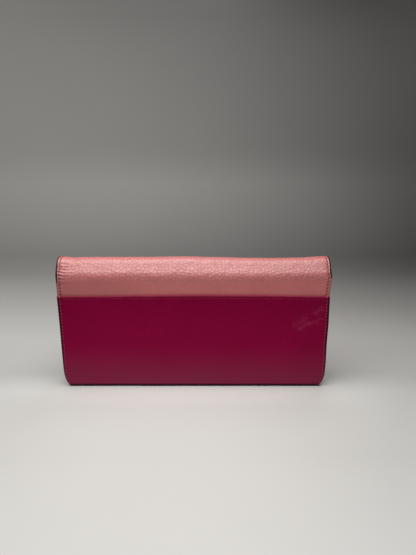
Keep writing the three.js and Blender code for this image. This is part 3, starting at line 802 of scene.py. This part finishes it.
def pocket_relief(a, v, s, e):
    z = POCKET_TOP - s
    side = HALF - np.abs(a)
    wob = 0.10 * value_noise(a, a * 0, 15, 45)
    groove = np.exp(-(((s - 1.45 - wob) / 0.26) ** 2)) * smooth((side - 1.5) / 1.0)
    lip = np.exp(-(((s - 2.15 - wob) / 0.3) ** 2))
    bead = smooth((1.35 + wob - s) / 0.5)
    rise = 0.10 * fbm(a, v, 26, 41) + 0.012 * fbm(a, v, 6, 42) - 0.32 * groove + 0.07 * lip
    sg, hole = stitch_marks(side_of(a, z) - STITCH_IN_MAG, v, STITCH, 0)
    on = smooth((z + 1.5) / 2)
    rise = rise - 0.15 * sg * on - 0.08 * hole * on
    rise = rise * smooth((z - 0.2) / 2.5)  # flat where it stands
    scuff = np.zeros_like(a)
    patchy = 0.5 + 0.5 * value_noise(a, z, 1.5, 43)
    for width, strength, pts in SCUFF_LINES:
        dd = segment_distance(a + 0.55 * value_noise(a, z, 1.7, 44), z + 0.55 * value_noise(a, z, 1.5, 46), pts)
        scuff = np.maximum(scuff, strength * (0.25 + 1.0 * patchy) * np.exp(-((dd / (width * (0.55 + 0.9 * patchy))) ** 2)))
    near_side = smooth((a - 72) / 14) * smooth((z - 40) / 10)
    specks = smooth((value_noise(a, z, 0.9, 50) - 0.45) / 0.4) * near_side * 0.35
    scuff = np.clip(np.maximum(scuff, specks), 0, 1)
    contact_shadow = smooth((2.35 - z) / 0.6) * smooth((z + 1.8) / 0.8)  # painted contact shadow: a dark line along the bottom where it stands
    top_shade = 0.26 * smooth(1 - s / 26) + 0.16 * smooth((np.abs(a + 2) - 62) / 26)
    rim = 0.72 + 0.52 * smooth((z - 6) / 30) + 0.12 * value_noise(z, z * 0 + np.sign(a) * 7, 4, 55)
    paint = smooth((rim + 0.15 - np.maximum(side_of(a, z), 0)) / 0.35) * smooth((s - 0.5) / 0.8)
    # the top edge and the ridge below the crease painted lighter: partly wear, partly a painted highlight where they
    # catch the light
    wear = bead * (0.8 + 0.2 * value_noise(a, s, 4, 47)) + 0.40 * lip * smooth(0.5 + value_noise(a, s * 0, 1.1, 48)) * smooth((side - 3) / 3)
    # the last key paints the floor's reflection on the lower part, fading out above 34 mm
    return rise * smooth(e / 0.5), {"groove": np.clip(groove + 0.25 * sg * on + top_shade, 0, 1), "scuff": scuff, "paint": paint, "hole": np.clip(0.4 * hole * on + contact_shadow, 0, 1), "crease": groove * 0, "wear": np.clip(wear, 0, 1), "rub": 0.75 * smooth((34 - z) / 34) * smooth((z + 4) / 4) * (1 + 0.25 * fbm(a, z, 22, 49))}


def side_of(a, z):
    """Distance in from the side edge, which curves in at the bottom corners."""
    h = body_half(z)
    slope = np.where(z < 10, 0.55 * np.clip((10 - z) / 10, 0, 1) / np.sqrt(np.clip(1 - np.clip((10 - z) / 10, 0, 1) ** 2, 0.02, 1)), 0)
    return (h - np.abs(a)) / np.sqrt(1 + slope**2)


# rubbing near the right side: a few straight soft drags, as (width, strength, points)
SCUFF_LINES = [
    (1.5, 0.42, [(73.0, 44.0), (79.5, 48.0)]),
    (1.1, 0.38, [(80.5, 47.5), (86.5, 51.0)]),
    (1.8, 0.30, [(84.0, 55.0), (89.5, 58.0)]),
    (2.4, 0.24, [(70.0, 46.5), (77.0, 50.5)]),
]



def pocket_bow(x, z):
    """The pocket's open edge rises a little towards the middle."""
    return 0.75 * np.cos(np.clip((x - 8) / 84, -1, 1) * math.pi / 2) ** 1.3 * smooth((z - 20) / 45)


pocket_sheet = Sheet(pocket_path, T_MAG, lambda p: body_half(p[:, 1] - 0.55), ends=("round", "cut"), relief=pocket_relief, bow=pocket_bow)
lp = pocket_path.length
rows = np.concatenate([
    rows_between(0, 4, 0.4, dense_a=True, marks=[0.95, 1.1, 1.25, 1.4, 1.55, 1.8, 2.0, 2.2]),
    rows_between(4, POCKET_TOP - 12, 0.7)[1:],
    rows_between(POCKET_TOP - 12, POCKET_TOP + 2.0, 0.4)[1:],
    rows_between(POCKET_TOP + 2.0, lp, 1.5)[1:],
])
pocket = pocket_sheet.mesh("pocket_leather", rows, 0.65, [M_MAG], coarse=8)
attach(pocket, "back_body")
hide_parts("back_slip_pocket", "bottom_wrap")

front_path = Path([(-2.0, 0.55), (4.1, 0.55), (Y_FRONT, 1.5), (Y_FRONT, FRONT_TOP)], [0, 2.0, 0.75, 0], side=-1)


def front_relief(a, v, s, e):
    z = front_path.at(s)[0][:, 1]
    side = side_of(a, z - 0.55)
    rise = 0.08 * fbm(a, v, 26, 51) + 0.02 * fbm(a, v, 6, 52)
    sg, hole = stitch_marks(side - STITCH_IN_MAG, v, STITCH, 0)
    on = smooth((z - 1.0) / 2)
    d = front_path.length - s
    tg, thole = stitch_marks(d - STITCH_IN_MAG, a, STITCH, 0)
    inside = smooth((side - 1.4) / 0.5)
    rise = rise - 0.15 * sg * on - 0.08 * hole * on - 0.15 * tg * inside
    paint = smooth((0.80 + 0.15 - e) / 0.3)
    rise = rise * smooth((z - 0.8) / 2.5)
    return rise * smooth(e / 0.9), {"groove": np.clip(0.25 * sg * on + 0.25 * tg * inside, 0, 1), "scuff": a * 0, "paint": paint, "hole": np.clip(0.5 * hole * on + 0.5 * thole * inside, 0, 1), "crease": a * 0}


front_sheet = Sheet(front_path, T_MAG, lambda p: body_half(p[:, 1] - 0.55), ends=("cut", "round"), v0=lp, relief=front_relief)
lfp = front_path.length
rows = np.concatenate([
    rows_between(0, 5, 1.2),
    rows_between(5, 24, 0.4)[1:],
    rows_between(24, lfp, 0.9, dense_b=True)[1:],
])
front = front_sheet.mesh("front_leather", rows, 0.8, [M_MAG], coarse=8)
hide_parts("front_panel")


# ------------------------------------------------------------------ stitches
def stitches(name, sheet, centres, dirs, material, lift=0.0, length=1.72, width=0.21, holes=True, slant=0.10, rings=7, sides=6):
    """Small arched threads on a sheet. centres and dirs are in the sheet's a, s."""
    verts, faces, uvs, index = [], [], [], []
    centres, dirs = np.asarray(centres, float), np.asarray(dirs, float)
    u = np.linspace(-1, 1, rings)
    base_count = 0
    top = sheet.t / 2 + lift
    A, S, O, UV = [], [], [], []
    for i, (c, d) in enumerate(zip(centres, dirs)):
        d = d / np.linalg.norm(d)
        wob = slant + 0.03 * math.sin(i * 12.9898)
        d = np.array([d[0] * math.cos(wob) - d[1] * math.sin(wob), d[0] * math.sin(wob) + d[1] * math.cos(wob)])
        n = np.array([-d[1], d[0]])
        ln = length * (1 + 0.05 * math.sin(i * 78.233))
        r = width * np.sqrt(np.clip(1 - np.abs(u) ** 6, 0.02, 1))
        off = top + 0.02 + 0.15 * (1 - u**2) - 0.34 * u**8
        for k in range(rings):
            for j in range(sides):
                t = 2 * math.pi * j / sides
                p = c + d * (u[k] * ln / 2) + n * (r[k] * math.cos(t))
                A.append(p[0]); S.append(p[1]); O.append(off[k] + r[k] * 0.85 * math.sin(t))
                UV.append((u[k] * ln / 2 + i * 2.0, t * width))
        for k in range(rings - 1):
            for j in range(sides):
                a0 = base_count + k * sides + j
                a1 = base_count + k * sides + (j + 1) % sides
                faces.append((a0, a1, a1 + sides, a0 + sides)); index.append(0)
        faces.append(tuple(base_count + j for j in range(sides))[::-1]); index.append(0)
        faces.append(tuple(base_count + (rings - 1) * sides + j for j in range(sides))); index.append(0)
        base_count += rings * sides
        # a small dark cup at the thread's end: painted shade in the needle hole
        if holes:
            for e in (-1,):
                h = c + d * (e * (ln / 2 + 0.25))
                m = 8
                first = base_count
                for rr, oo in ((0.40, -0.10), (0.30, 0.035)):
                    for j in range(m):
                        t = 2 * math.pi * j / m
                        A.append(h[0] + rr * math.cos(t)); S.append(h[1] + rr * math.sin(t)); O.append(top - 0.13 + oo)
                        UV.append((j, rr))
                A.append(h[0]); S.append(h[1]); O.append(top - 0.10); UV.append((0, 0))
                A.append(h[0]); S.append(h[1]); O.append(top - 0.34); UV.append((0, 0))
                for j in range(m):
                    k2 = (j + 1) % m
                    faces.append((first + j, first + k2, first + m + k2, first + m + j)); index.append(1)
                    faces.append((first + m + j, first + m + k2, first + 2 * m)); index.append(1)
                    faces.append((first + k2, first + j, first + 2 * m + 1)); index.append(1)
                base_count += 2 * m + 2
    pts = sheet.point(np.array(A), np.array(S), np.array(O))
    # the param space (a, s, out) is left or right handed depending on the path's side
    q = sheet.point(np.array([0.0, 1.0, 0.0, 0.0]), np.array([5.0, 5.0, 6.0, 5.0]), np.array([0.0, 0.0, 0.0, 1.0]))
    hand = np.linalg.det(np.stack([q[1] - q[0], q[2] - q[0], q[3] - q[0]]))
    return build(name, pts, faces, np.array(UV), None, [material, M_HOLE], index, sharp=60, flip=hand < 0)


def side_line(sheet, inset, s_from, s_to, side, v0=0.0, pitch=STITCH, half=None):
    """Stitches down one side. They fall on whole steps of the hide's v, so that the two pieces of a hide agree."""
    k0, k1 = math.ceil((s_from + v0) / pitch), math.floor((s_to + v0) / pitch)
    s = (np.arange(k0, k1) + 0.5) * pitch - v0
    eps = 0.05
    h = lambda x: sheet.half_at(x) if half is None else half(x)
    slope = (h(s + eps) - h(s - eps)) / (2 * eps)
    norm = np.sqrt(1 + slope**2)
    a = side * (h(s) - inset / 1.0 * norm ** 0)
    a = side * (h(s) - inset / norm)
    s2 = s + slope * inset / norm * 1.0
    return np.stack([a, s + (s2 - s) * 0], 1), np.stack([side * slope, np.ones_like(s)], 1)


def joined(*parts):
    return np.concatenate([p[0] for p in parts]), np.concatenate([p[1] for p in parts])


pocket_top_s = POCKET_TOP - 3.4
c, d = joined(*[side_line(back_sheet, STITCH_IN, pocket_top_s + 0.3, L_BACK + 0.2, k) for k in (-1, 1)])
st_back = stitches("back_stitching", back_sheet, c, d, M_THREAD_ROSE)


def flap_outline_stitches():
    """Down both sides of the flap, round its corners and along the bottom."""
    h, L, r, i = HALF, flap_path.length, FLAP_R, STITCH_IN
    pts, dr = [], []
    straight = L - r
    k0 = math.ceil((0 + S_SEAM) / STITCH)
    s = (np.arange(k0 - 1, math.floor((straight + S_SEAM) / STITCH)) + 0.5) * STITCH - S_SEAM
    s = s[s > -0.2]
    for side in (-1, 1):
        for v in s:
            pts.append((side * (h - i), v)); dr.append((0, 1))
    last = s[-1] + STITCH
    # the corner and half the bottom, by arc length
    arc = (r - i) * math.pi / 2
    total = (L - r - last) + arc + (h - r)
    n = int(round((total - 0.0) / STITCH))
    pitch = total / n
    for j in range(n + 1):
        t = j * pitch
        if t < L - r - last:
            p, q = (h - i, last + t), (0, 1)
        elif t < L - r - last + arc:
            a = (t - (L - r - last)) / (r - i)
            p = (h - r + (r - i) * math.cos(a), L - r + (r - i) * math.sin(a))
            q = (-math.sin(a), math.cos(a))
        else:
            p, q = (h - r - (t - (L - r - last) - arc), L - i), (-1, 0)
        for side in (-1, 1):
            if side < 0 and abs(p[0]) < STITCH / 2:
                continue
            pts.append((side * p[0], p[1])); dr.append((side * q[0], q[1]))
    return np.array(pts), np.array(dr)


c, d = flap_outline_stitches()
st_flap = stitches("flap_stitching", flap_sheet, c, d, M_THREAD_ROSE)

c, d = joined(*[side_line(pocket_sheet, STITCH_IN_MAG, 2.2, POCKET_TOP - 0.6, k) for k in (-1, 1)])
st_pocket = stitches("pocket_stitching", pocket_sheet, c, d, M_THREAD_MAG)
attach(st_pocket, "back_body")

c, d = joined(*[side_line(front_sheet, STITCH_IN_MAG, 12.6, lfp - 2.4, k, v0=lp) for k in (-1, 1)])
n_top = int(2 * (HALF - STITCH_IN_MAG) / STITCH)
xs = (np.arange(n_top) - (n_top - 1) / 2) * (2 * (HALF - STITCH_IN_MAG) / n_top)
c = np.concatenate([c, np.stack([xs, np.full(n_top, lfp - STITCH_IN_MAG)], 1)])
d = np.concatenate([d, np.tile([1.0, 0.0], (n_top, 1))])
st_front = stitches("front_stitching", front_sheet, c, d, M_THREAD_MAG)

# a doubled thread over the pocket's top edge at each corner
tack_c = [(k * (HALF - STITCH_IN_MAG - 0.05 * j), 0.25 + 0.35 * j) for k in (-1, 1) for j in (0, 1)]
tacks = stitches("pocket_tacks", pocket_sheet, np.array(tack_c), np.tile([0.0, 1.0], (4, 1)), M_THREAD_ROSE, lift=0.12, length=2.2, width=0.26, holes=False, slant=0.2)
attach(tacks, "back_body")

# ------------------------------------------------------------------ linings
def lining_relief(seed):
    def f(a, v, s, e):
        z = a * 0
        return 0.03 * fbm(a, v, 18, seed) * smooth(e / 2), {"crease": z, "paint": z, "hole": z, "groove": z, "scuff": z}
    return f


y_bl = (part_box("back_lining")[0].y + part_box("back_lining")[1].y) / 2 / MM  # includes the arc, so not used
Y_BL = -8.15
R_LIN = R_OUT - T_ROSE - 0.1 - 0.2
LIN_Z = Z_SPINE - 0.9
low, high = fold_corners(Y_BACK, Z_SPINE, 0.9)
low_z = low[1] + (Y_BL - low[0]) / math.tan(SLOPE)
back_lin_path = Path([(Y_BL, 3.8), (Y_BL, low_z), high, (Y_SPINE_MID, Z_SPINE - 0.9)], [0, 3.0, TOP_R - 0.9, 0], side=1)


def pull_back(a, s, e):
    """The lining is drawn to the leather along its edges."""
    z = back_lin_path.at(s)[0][:, 1]
    return 0.62 * smooth(1 - (e - 0.4) / 2.6) * smooth((Z_FOLD - 3 - z) / 3)


back_lin = Sheet(back_lin_path, 0.4, lambda p: body_half(p[:, 1]) - 1.0, ends=("round", "cut"), relief=lining_relief(61), pull=pull_back)
lb = back_lin_path.length
rows = np.concatenate([rows_between(0, lb - 20, 2.5, dense_a=True), rows_between(lb - 20, lb, 0.8)[1:]])
o_back_lin = back_lin.mesh("back_lining_cloth", rows, 3.0, [M_LINING])
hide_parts("back_lining")

Y_FL = 9.35
flap_lin_path = Path([(Y_SPINE_MID, LIN_Z), (Y_FLAP - 0.9, LIN_Z), (Y_FLAP - 0.9, Z_FOLD - 0.6), (Y_FL, Z_FOLD - 3.6), (Y_FL, FLAP_BOTTOM + 0.8)], [0, R_LIN, 3, 3, 0], side=1)


def pull_flap(a, s, e):
    z = flap_lin_path.at(s)[0][:, 1]
    return 0.62 * smooth(1 - (e - 0.4) / 2.6) * smooth((Z_FOLD - 3 - z) / 3)


flap_lin = Sheet(flap_lin_path, 0.4, HALF - 0.8, ends=("cut", "round"), corner_r=FLAP_R - 0.8, v0=lb, relief=lining_relief(62), pull=pull_flap)
ll = flap_lin_path.length
rr = FLAP_R - 0.8
rows = np.concatenate([rows_between(0, 20, 0.8), rows_between(20, ll - rr, 2.5)[1:], ll - rr + rr * np.sin(np.linspace(0, math.pi / 2, 20))[1:]])
o_flap_lin = flap_lin.mesh("flap_lining_cloth", rows, 3.0, [M_LINING])
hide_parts("flap_lining", "spine_lining")

front_lin_path = Path([(5.05, 4.0), (5.05, FRONT_TOP - 0.5)], side=1)


def pull_front(a, s, e):
    return -0.62 * smooth(1 - (e - 0.4) / 2.6)


front_lin = Sheet(front_lin_path, 0.4, lambda p: body_half(p[:, 1]) - 1.0, relief=lining_relief(63), pull=pull_front)
o_front_lin = front_lin.mesh("front_lining_cloth", rows_between(0, front_lin_path.length, 3, True, True), 3.0, [M_LINING])
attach(o_front_lin, "front_wall")
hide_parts("front_lining")


# ------------------------------------------------------------------ card slots, coin pocket, zip tapes
def panel_relief(seed, hem=True):
    def f(a, v, s, e):
        groove = np.exp(-(((e - 1.5) / 0.28) ** 2)) if hem else a * 0
        z = a * 0
        return (0.03 * fbm(a, v, 12, seed) - 0.12 * groove) * smooth(e / 1.0), {"crease": z, "paint": smooth((0.3 - e) / 0.2), "hole": z, "groove": groove, "scuff": z}
    return f


def flat_panel(name, body, node, y, t, x0, x1, z0, z1, r, mat, side, seed, across=2.2, hem=True):
    path = Path([(y, z0), (y, z1)], side=side)
    sh = Sheet(path, t, (x1 - x0) / 2, corner_r=r, relief=panel_relief(seed, hem), centre=(x0 + x1) / 2)
    L = path.length
    rows = rows_between(0, L - r, 2.2, dense_a=True)
    rows = np.concatenate([rows, L - r + r * np.sin(np.linspace(0, math.pi / 2, 12))[1:]])
    o = sh.mesh(name, rows, across, [mat])
    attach(o, body)
    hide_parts(node)
    return sh


tops = {"rear": 70, "middle": 59, "front": 48}
slot_y = {"rear": -7.6, "middle": -7.0, "front": -6.4}
SLOT_SHEETS = {}
for sd, (x0, x1) in {"left": (-90.6, -1.0), "right": (1.0, 90.6)}.items():
    for i, tier in enumerate(("rear", "middle", "front")):
        SLOT_SHEETS[sd, tier] = flat_panel(f"card_pocket_{sd}_{tier}", "back_body", f"card_slot_{sd}_{tier}", slot_y[tier], 0.5, x0, x1, 5, tops[tier], 2.5, M_SLOT, -1, 70 + i)

coin_b = flat_panel("coin_wall_back", "divider", "coin_pocket_back_wall", -1.45, 0.6, -88.7, 88.7, 5, 69.5, 2, M_SLOT, 1, 81)
coin_f = flat_panel("coin_wall_front", "divider", "coin_pocket_front_wall", 0.15, 0.6, -88.7, 88.7, 5, 69.5, 2, M_SLOT, -1, 82)
flat_panel("tape_back", "divider", "zip_tape_back", -0.95, 0.3, -84, 84, 62, 71.2, 1, M_TAPE, 1, 83, hem=False)
flat_panel("tape_front", "divider", "zip_tape_front", -0.35, 0.3, -84, 84, 62, 71.2, 1, M_TAPE, -1, 84, hem=False)

for sh, nm, body in ((coin_b, "coin_stitching_back", "divider"), (coin_f, "coin_stitching_front", "divider")):
    n = int(160 / STITCH)
    xs = (np.arange(n) - (n - 1) / 2) * STITCH
    o = stitches(nm, sh, np.stack([xs, np.full(n, sh.path.length - 2.6)], 1), np.tile([1.0, 0.0], (n, 1)), M_THREAD_MAG, width=0.17, holes=False)
    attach(o, body)
for (sd, tier), sh in SLOT_SHEETS.items():
    n = int((sh.path.length - 4) / STITCH)
    s = 2.5 + np.arange(n) * STITCH
    inner = -1 if sd == "right" else 1
    c = np.concatenate([np.stack([np.full(n, k * (sh.half_at(s) - 1.6)[0]), s], 1) for k in (inner,)])
    o = stitches(f"slot_stitching_{sd}_{tier}", sh, c, np.tile([0.0, 1.0], (len(c), 1)), M_THREAD_MAG, width=0.16, holes=False, lift=-0.05)
    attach(o, "back_body")

# ------------------------------------------------------------------ gussets
GUSSET_LINE = [(91.7, -7.8), (91.7, -5.55), (80.6, -4.1), (89.5, -2.6), (89.5, 1.35), (80.6, 2.45), (91.7, 3.75), (91.7, 4.75)]
GUSSET_R = [0, 0.8, 0.45, 0.8, 0.8, 0.45, 0.7, 0]
for sd, sx in (("left", -1), ("right", 1)):
    gp = Path([(sx * x, y) for x, y in GUSSET_LINE], GUSSET_R, side=-sx)
    gs = Sheet(gp, 0.6, 33.0, plane="XY", relief=panel_relief(90 + sx, hem=False), centre=39.1)
    o = gs.mesh(f"gusset_{sd}_leather", rows_between(0, gp.length, 0.55, True, True), 2.4, [M_MAG])
    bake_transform(o)
    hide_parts(f"gusset_{sd}")

# ------------------------------------------------------------------ boards, metal and zip
for n in ("back_board", "flap_board"):
    NODES[n].data.materials.clear()
    NODES[n].data.materials.append(M_BOARD)


def lathe(name, profile, z, seg=72):
    """profile of (radius, y), turned about the Y axis at that height."""
    pr = np.array(profile, float)
    ang = np.linspace(0, 2 * np.pi, seg, endpoint=False)
    ring = pr[:, 0] > 1e-6
    verts, rows_ = [], []
    for (r, y), is_ring in zip(pr, ring):
        if is_ring:
            rows_.append(list(range(len(verts), len(verts) + seg)))
            verts += [(r * math.cos(t), y, z + r * math.sin(t)) for t in ang]
        else:
            rows_.append([len(verts)])
            verts.append((0, y, z))
    faces = []
    for a, b in zip(rows_[:-1], rows_[1:]):
        for j in range(seg):
            k = (j + 1) % seg
            if len(a) == 1 and len(b) == 1:
                continue
            if len(a) == 1:
                faces.append((a[0], b[j], b[k]))
            elif len(b) == 1:
                faces.append((a[j], b[0], a[k]))
            else:
                faces.append((a[j], b[j], b[k], a[k]))
    o = build(name, np.array(verts), faces, None, None, [M_METAL], sharp=40)
    # face outwards
    import bmesh
    bm = bmesh.new(); bm.from_mesh(o.data)
    bmesh.ops.recalc_face_normals(bm, faces=bm.faces)
    bm.to_mesh(o.data); bm.free()
    o.data.set_sharp_from_angle(angle=math.radians(40))
    return o


def round_profile(points, r=0.12, n=3):
    """Rounds the corners of an open profile."""
    p = [np.array(q, float) for q in points]
    out = [p[0]]
    for i in range(1, len(p) - 1):
        a, b = p[i - 1] - p[i], p[i + 1] - p[i]
        la, lb = np.linalg.norm(a), np.linalg.norm(b)
        k = min(r, la * 0.45, lb * 0.45)
        q0, q1 = p[i] + a / la * k, p[i] + b / lb * k
        for j in range(n + 1):
            t = j / n
            out.append((1 - t) ** 2 * q0 + 2 * t * (1 - t) * p[i] + t * t * q1)
    out.append(p[-1])
    return out


stud = lathe("snap_stud_cap", round_profile([(0, 7.15), (6.5, 7.15), (6.5, 7.75), (5.4, 7.85), (5.0, 7.70), (3.0, 7.70), (2.2, 7.85), (2.2, 8.75), (0, 8.75)], 0.14), 25.0)
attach(stud, "front_wall"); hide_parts("snap_stud")
socket = lathe("snap_socket_ring", round_profile([(2.7, 9.0), (2.7, 8.3), (3.4, 8.12), (5.2, 8.12), (5.5, 8.06), (6.3, 8.06), (6.5, 8.3), (6.5, 9.05), (2.7, 9.05), (2.7, 8.9)], 0.12), 25.0)
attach(socket, "flap"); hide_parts("snap_socket")

for n in ("snap_stud_washer", "snap_socket_washer"):
    NODES[n].data.materials.clear()
    NODES[n].data.materials.append(M_METAL)

# the zip's metal parts, each with its edges rounded over
for n, body in (("zip_slider_body", "zip_slider"), ("zip_pull_tab", "zip_pull"), ("zip_stop_left", "divider"), ("zip_stop_right", "divider")):
    me = NODES[n].data.copy()
    me.name = n + "_cast"
    me.materials.clear()
    me.materials.append(M_METAL)
    o = bpy.data.objects.new(n + "_cast", me)
    bpy.context.scene.collection.objects.link(o)
    b = o.modifiers.new("bevel", "BEVEL")
    b.width, b.segments, b.limit_method, b.angle_limit = 0.00016, 3, "ANGLE", math.radians(35)
    me.shade_smooth()
    me.set_sharp_from_angle(angle=math.radians(35))
    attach(o, body)
    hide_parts(n)


def coil(name, y0, phase, x0=-78.0, x1=78.0, pitch=1.35, wire=0.24):
    """One side of a nylon zip coil: a flattened helix."""
    turns = (x1 - x0) / pitch
    n = int(turns * 12)
    t = np.linspace(0, turns * 2 * np.pi, n) + phase
    x = np.linspace(x0 + 0.3, x1 - 0.3, n)
    c = np.stack([x, y0 + 0.36 * np.cos(t), 72.1 + 0.50 * np.sin(t)], 1)
    tan = np.gradient(c, axis=0)
    tan /= np.linalg.norm(tan, axis=1)[:, None]
    side = np.cross(tan, [1.0, 0, 0]); side /= np.linalg.norm(side, axis=1)[:, None]
    up = np.cross(side, tan)
    m = 5
    ang = np.arange(m) / m * 2 * np.pi
    v = c[:, None] + wire * 0.5 * (np.cos(ang)[None, :, None] * side[:, None] + np.sin(ang)[None, :, None] * up[:, None])
    idx = np.arange(n * m).reshape(n, m)
    nxt = np.roll(idx, -1, 1)
    f = np.stack([idx[:-1], nxt[:-1], nxt[1:], idx[1:]], -1).reshape(-1, 4)
    faces = [tuple(q) for q in f] + [tuple(idx[0][::-1]), tuple(idx[-1])]
    o = build(name, v.reshape(-1, 3), faces, None, None, [M_COIL], sharp=70)
    import bmesh
    bm = bmesh.new(); bm.from_mesh(o.data)
    bmesh.ops.recalc_face_normals(bm, faces=bm.faces)
    bm.to_mesh(o.data); bm.free()
    return o


for nm, yy, ph, node in (("coil_back", -1.14, 0.0, "zip_coil_back"), ("coil_front", -0.16, np.pi, "zip_coil_front")):
    o = coil(nm, yy, ph)
    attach(o, "divider"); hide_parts(node)

# ------------------------------------------------------------------ pieces with their placement baked into the mesh
for o in (back, st_back):
    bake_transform(o)
for o in (flap, st_flap):
    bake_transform(o)
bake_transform(o_back_lin)
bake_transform(o_flap_lin)
for o in (front, st_front):
    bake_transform(o)

# ------------------------------------------------------------------ stage, light and camera
SWEEP_Y0, SWEEP_BEND, SWEEP_R = -0.34, 0.36, 0.20


def sweep_at(v):
    """The paper sweep at that distance along it: floor, a wide bend, then a wall. In metres."""
    flat = SWEEP_BEND - SWEEP_Y0
    arc = SWEEP_R * math.pi / 2
    if v <= flat:
        return SWEEP_Y0 + v, -0.00006
    if v <= flat + arc:
        a = (v - flat) / SWEEP_R
        return SWEEP_BEND + SWEEP_R * math.sin(a), SWEEP_R * (1 - math.cos(a))
    return SWEEP_BEND + SWEEP_R, SWEEP_R + v - flat - arc


# How the paper shades off along the sweep: distance, shade in the middle, its slope and bend across, in X, and how far out.
SWEEP_SHADE = [
    (0.18, 0.92, -0.1, -8, 0.085),
    (0.25, 0.9, -0.3, -8.5, 0.11),
    (0.3, 0.96, -0.45, -9.5, 0.135),
    (0.325, 1.1, -0.4, -16, 0.15),
    (0.35, 0.65, -0.35, 0, 0.165),
    (0.42, 0.65, -0.6, 0, 0.2),
    (0.52, 0.52, -0.6, 0, 0.245),
    (0.78, 0.29, -0.4, 0, 0.37),
    (0.95, 0.49, -0.6, 0, 0.41),
    (1.25, 0.27, -0.5, 1.2, 0.38),
    (2.3, 0.27, -0.5, 1.2, 0.38),
]


def sweep():
    vs = np.concatenate([np.linspace(0.0, 0.5, 51), np.linspace(0.5, 1.4, 61)[1:], np.linspace(1.4, 2.3, 19)[1:]])
    xs = np.concatenate([np.linspace(-1.5, -0.4, 12), np.linspace(-0.4, 0.4, 65)[1:-1], np.linspace(0.4, 1.5, 12)])
    tab = np.array(SWEEP_SHADE)
    verts, shade = [], []
    for v in vs:
        y, z = sweep_at(v)
        mid, slope, bend, out = (np.interp(v, tab[:, 0], tab[:, k]) for k in (1, 2, 3, 4))
        for x in xs:
            verts.append((x, y, z))
            q = max(-out, min(out, x))
            val = mid + slope * q + bend * q * q
            val *= 1 - 0.93 * float(smooth((0.190 - v) / 0.075))  # dark towards the photographer
            shade.append(max(0.02, min(1.25, val)))
    n = len(xs)
    faces = [(i * n + j, i * n + j + 1, (i + 1) * n + j + 1, (i + 1) * n + j) for i in range(len(vs) - 1) for j in range(n - 1)]
    me = bpy.data.meshes.new("studio_sweep")
    me.from_pydata(verts, [], faces)
    me.attributes.new("shade", "FLOAT", "POINT").data.foreach_set("value", np.array(shade, np.float32))
    me.update()
    me.shade_smooth()
    o = bpy.data.objects.new("studio_sweep", me)
    bpy.context.scene.collection.objects.link(o)
    k = Mat("studio_paper", Specular_IOR_Level=0.15)
    pos = k.n("ShaderNodeTexCoord").outputs["Object"]
    base = k.mix(k.remap(k.noise(pos, 6, 3), 0.35, 0.65), FLOOR_A, FLOOR_B)
    base = k.mix(1.0, base, k.attr("shade"), "MULTIPLY")
    k.finish(base, 0.6, k.bump(k.noise(pos, 420, 3), 0.00008, 0.25))
    me.materials.append(k.m)
    return o


FLOOR_A = (0.745, 0.742, 0.722, 1)
FLOOR_B = (0.765, 0.762, 0.742, 1)
sweep()


def area(name, loc, size, watts, target, colour=(1, 1, 1), spread=180):
    d = bpy.data.lights.new(name, "AREA")
    d.shape = "RECTANGLE"
    d.size, d.size_y, d.energy, d.color = size[0], size[1], watts, colour
    d.spread = math.radians(spread)
    o = bpy.data.objects.new(name, d)
    bpy.context.scene.collection.objects.link(o)
    o.location = loc
    o.rotation_mode = "QUATERNION"
    o.rotation_quaternion = (Vector(target) - Vector(loc)).to_track_quat("-Z", "Y")
    return o


area("overhead_softbox", (-0.07, -0.18, 0.64), (0.62, 0.62), 4.95, (-0.03, -0.05, 0.02), (1.0, 0.985, 0.965))
fill = area("far_fill", (0.12, 0.34, 0.62), (0.34, 0.34), 0.9, (0.0, 0.02, 0.05), (1.0, 0.985, 0.965))
fill.visible_glossy = False  # it lifts the far side without a second highlight

w = bpy.data.worlds.new("studio")
w.use_nodes = True
w.node_tree.nodes["Background"].inputs[0].default_value = (0.50, 0.50, 0.50, 1)
w.node_tree.nodes["Background"].inputs[1].default_value = 0.05
backdrop = w.node_tree.nodes.new("ShaderNodeBackground")
backdrop.inputs[0].default_value = (0.50, 0.49, 0.475, 1)
backdrop.inputs[1].default_value = 0.38
seen = w.node_tree.nodes.new("ShaderNodeLightPath")
either = w.node_tree.nodes.new("ShaderNodeMixShader")
w.node_tree.links.new(seen.outputs["Is Camera Ray"], either.inputs[0])
w.node_tree.links.new(w.node_tree.nodes["Background"].outputs[0], either.inputs[1])
w.node_tree.links.new(backdrop.outputs[0], either.inputs[2])
w.node_tree.links.new(either.outputs[0], w.node_tree.nodes["World Output"].inputs[0])
bpy.context.scene.world = w

cam_data = bpy.data.cameras.new("camera")
cam_data.lens, cam_data.sensor_width = 27.05, 36.0
cam_data.clip_start, cam_data.clip_end = 0.01, 20
cam = bpy.data.objects.new("camera", cam_data)
bpy.context.scene.collection.objects.link(cam)
cam.location = (0.00983, -0.28477, 0.14406)
cam.rotation_euler = (math.radians(90 - 13.16), 0, 0)
bpy.context.scene.camera = cam

sc = bpy.context.scene
sc.view_settings.view_transform = "Standard"
sc.view_settings.look = "None"
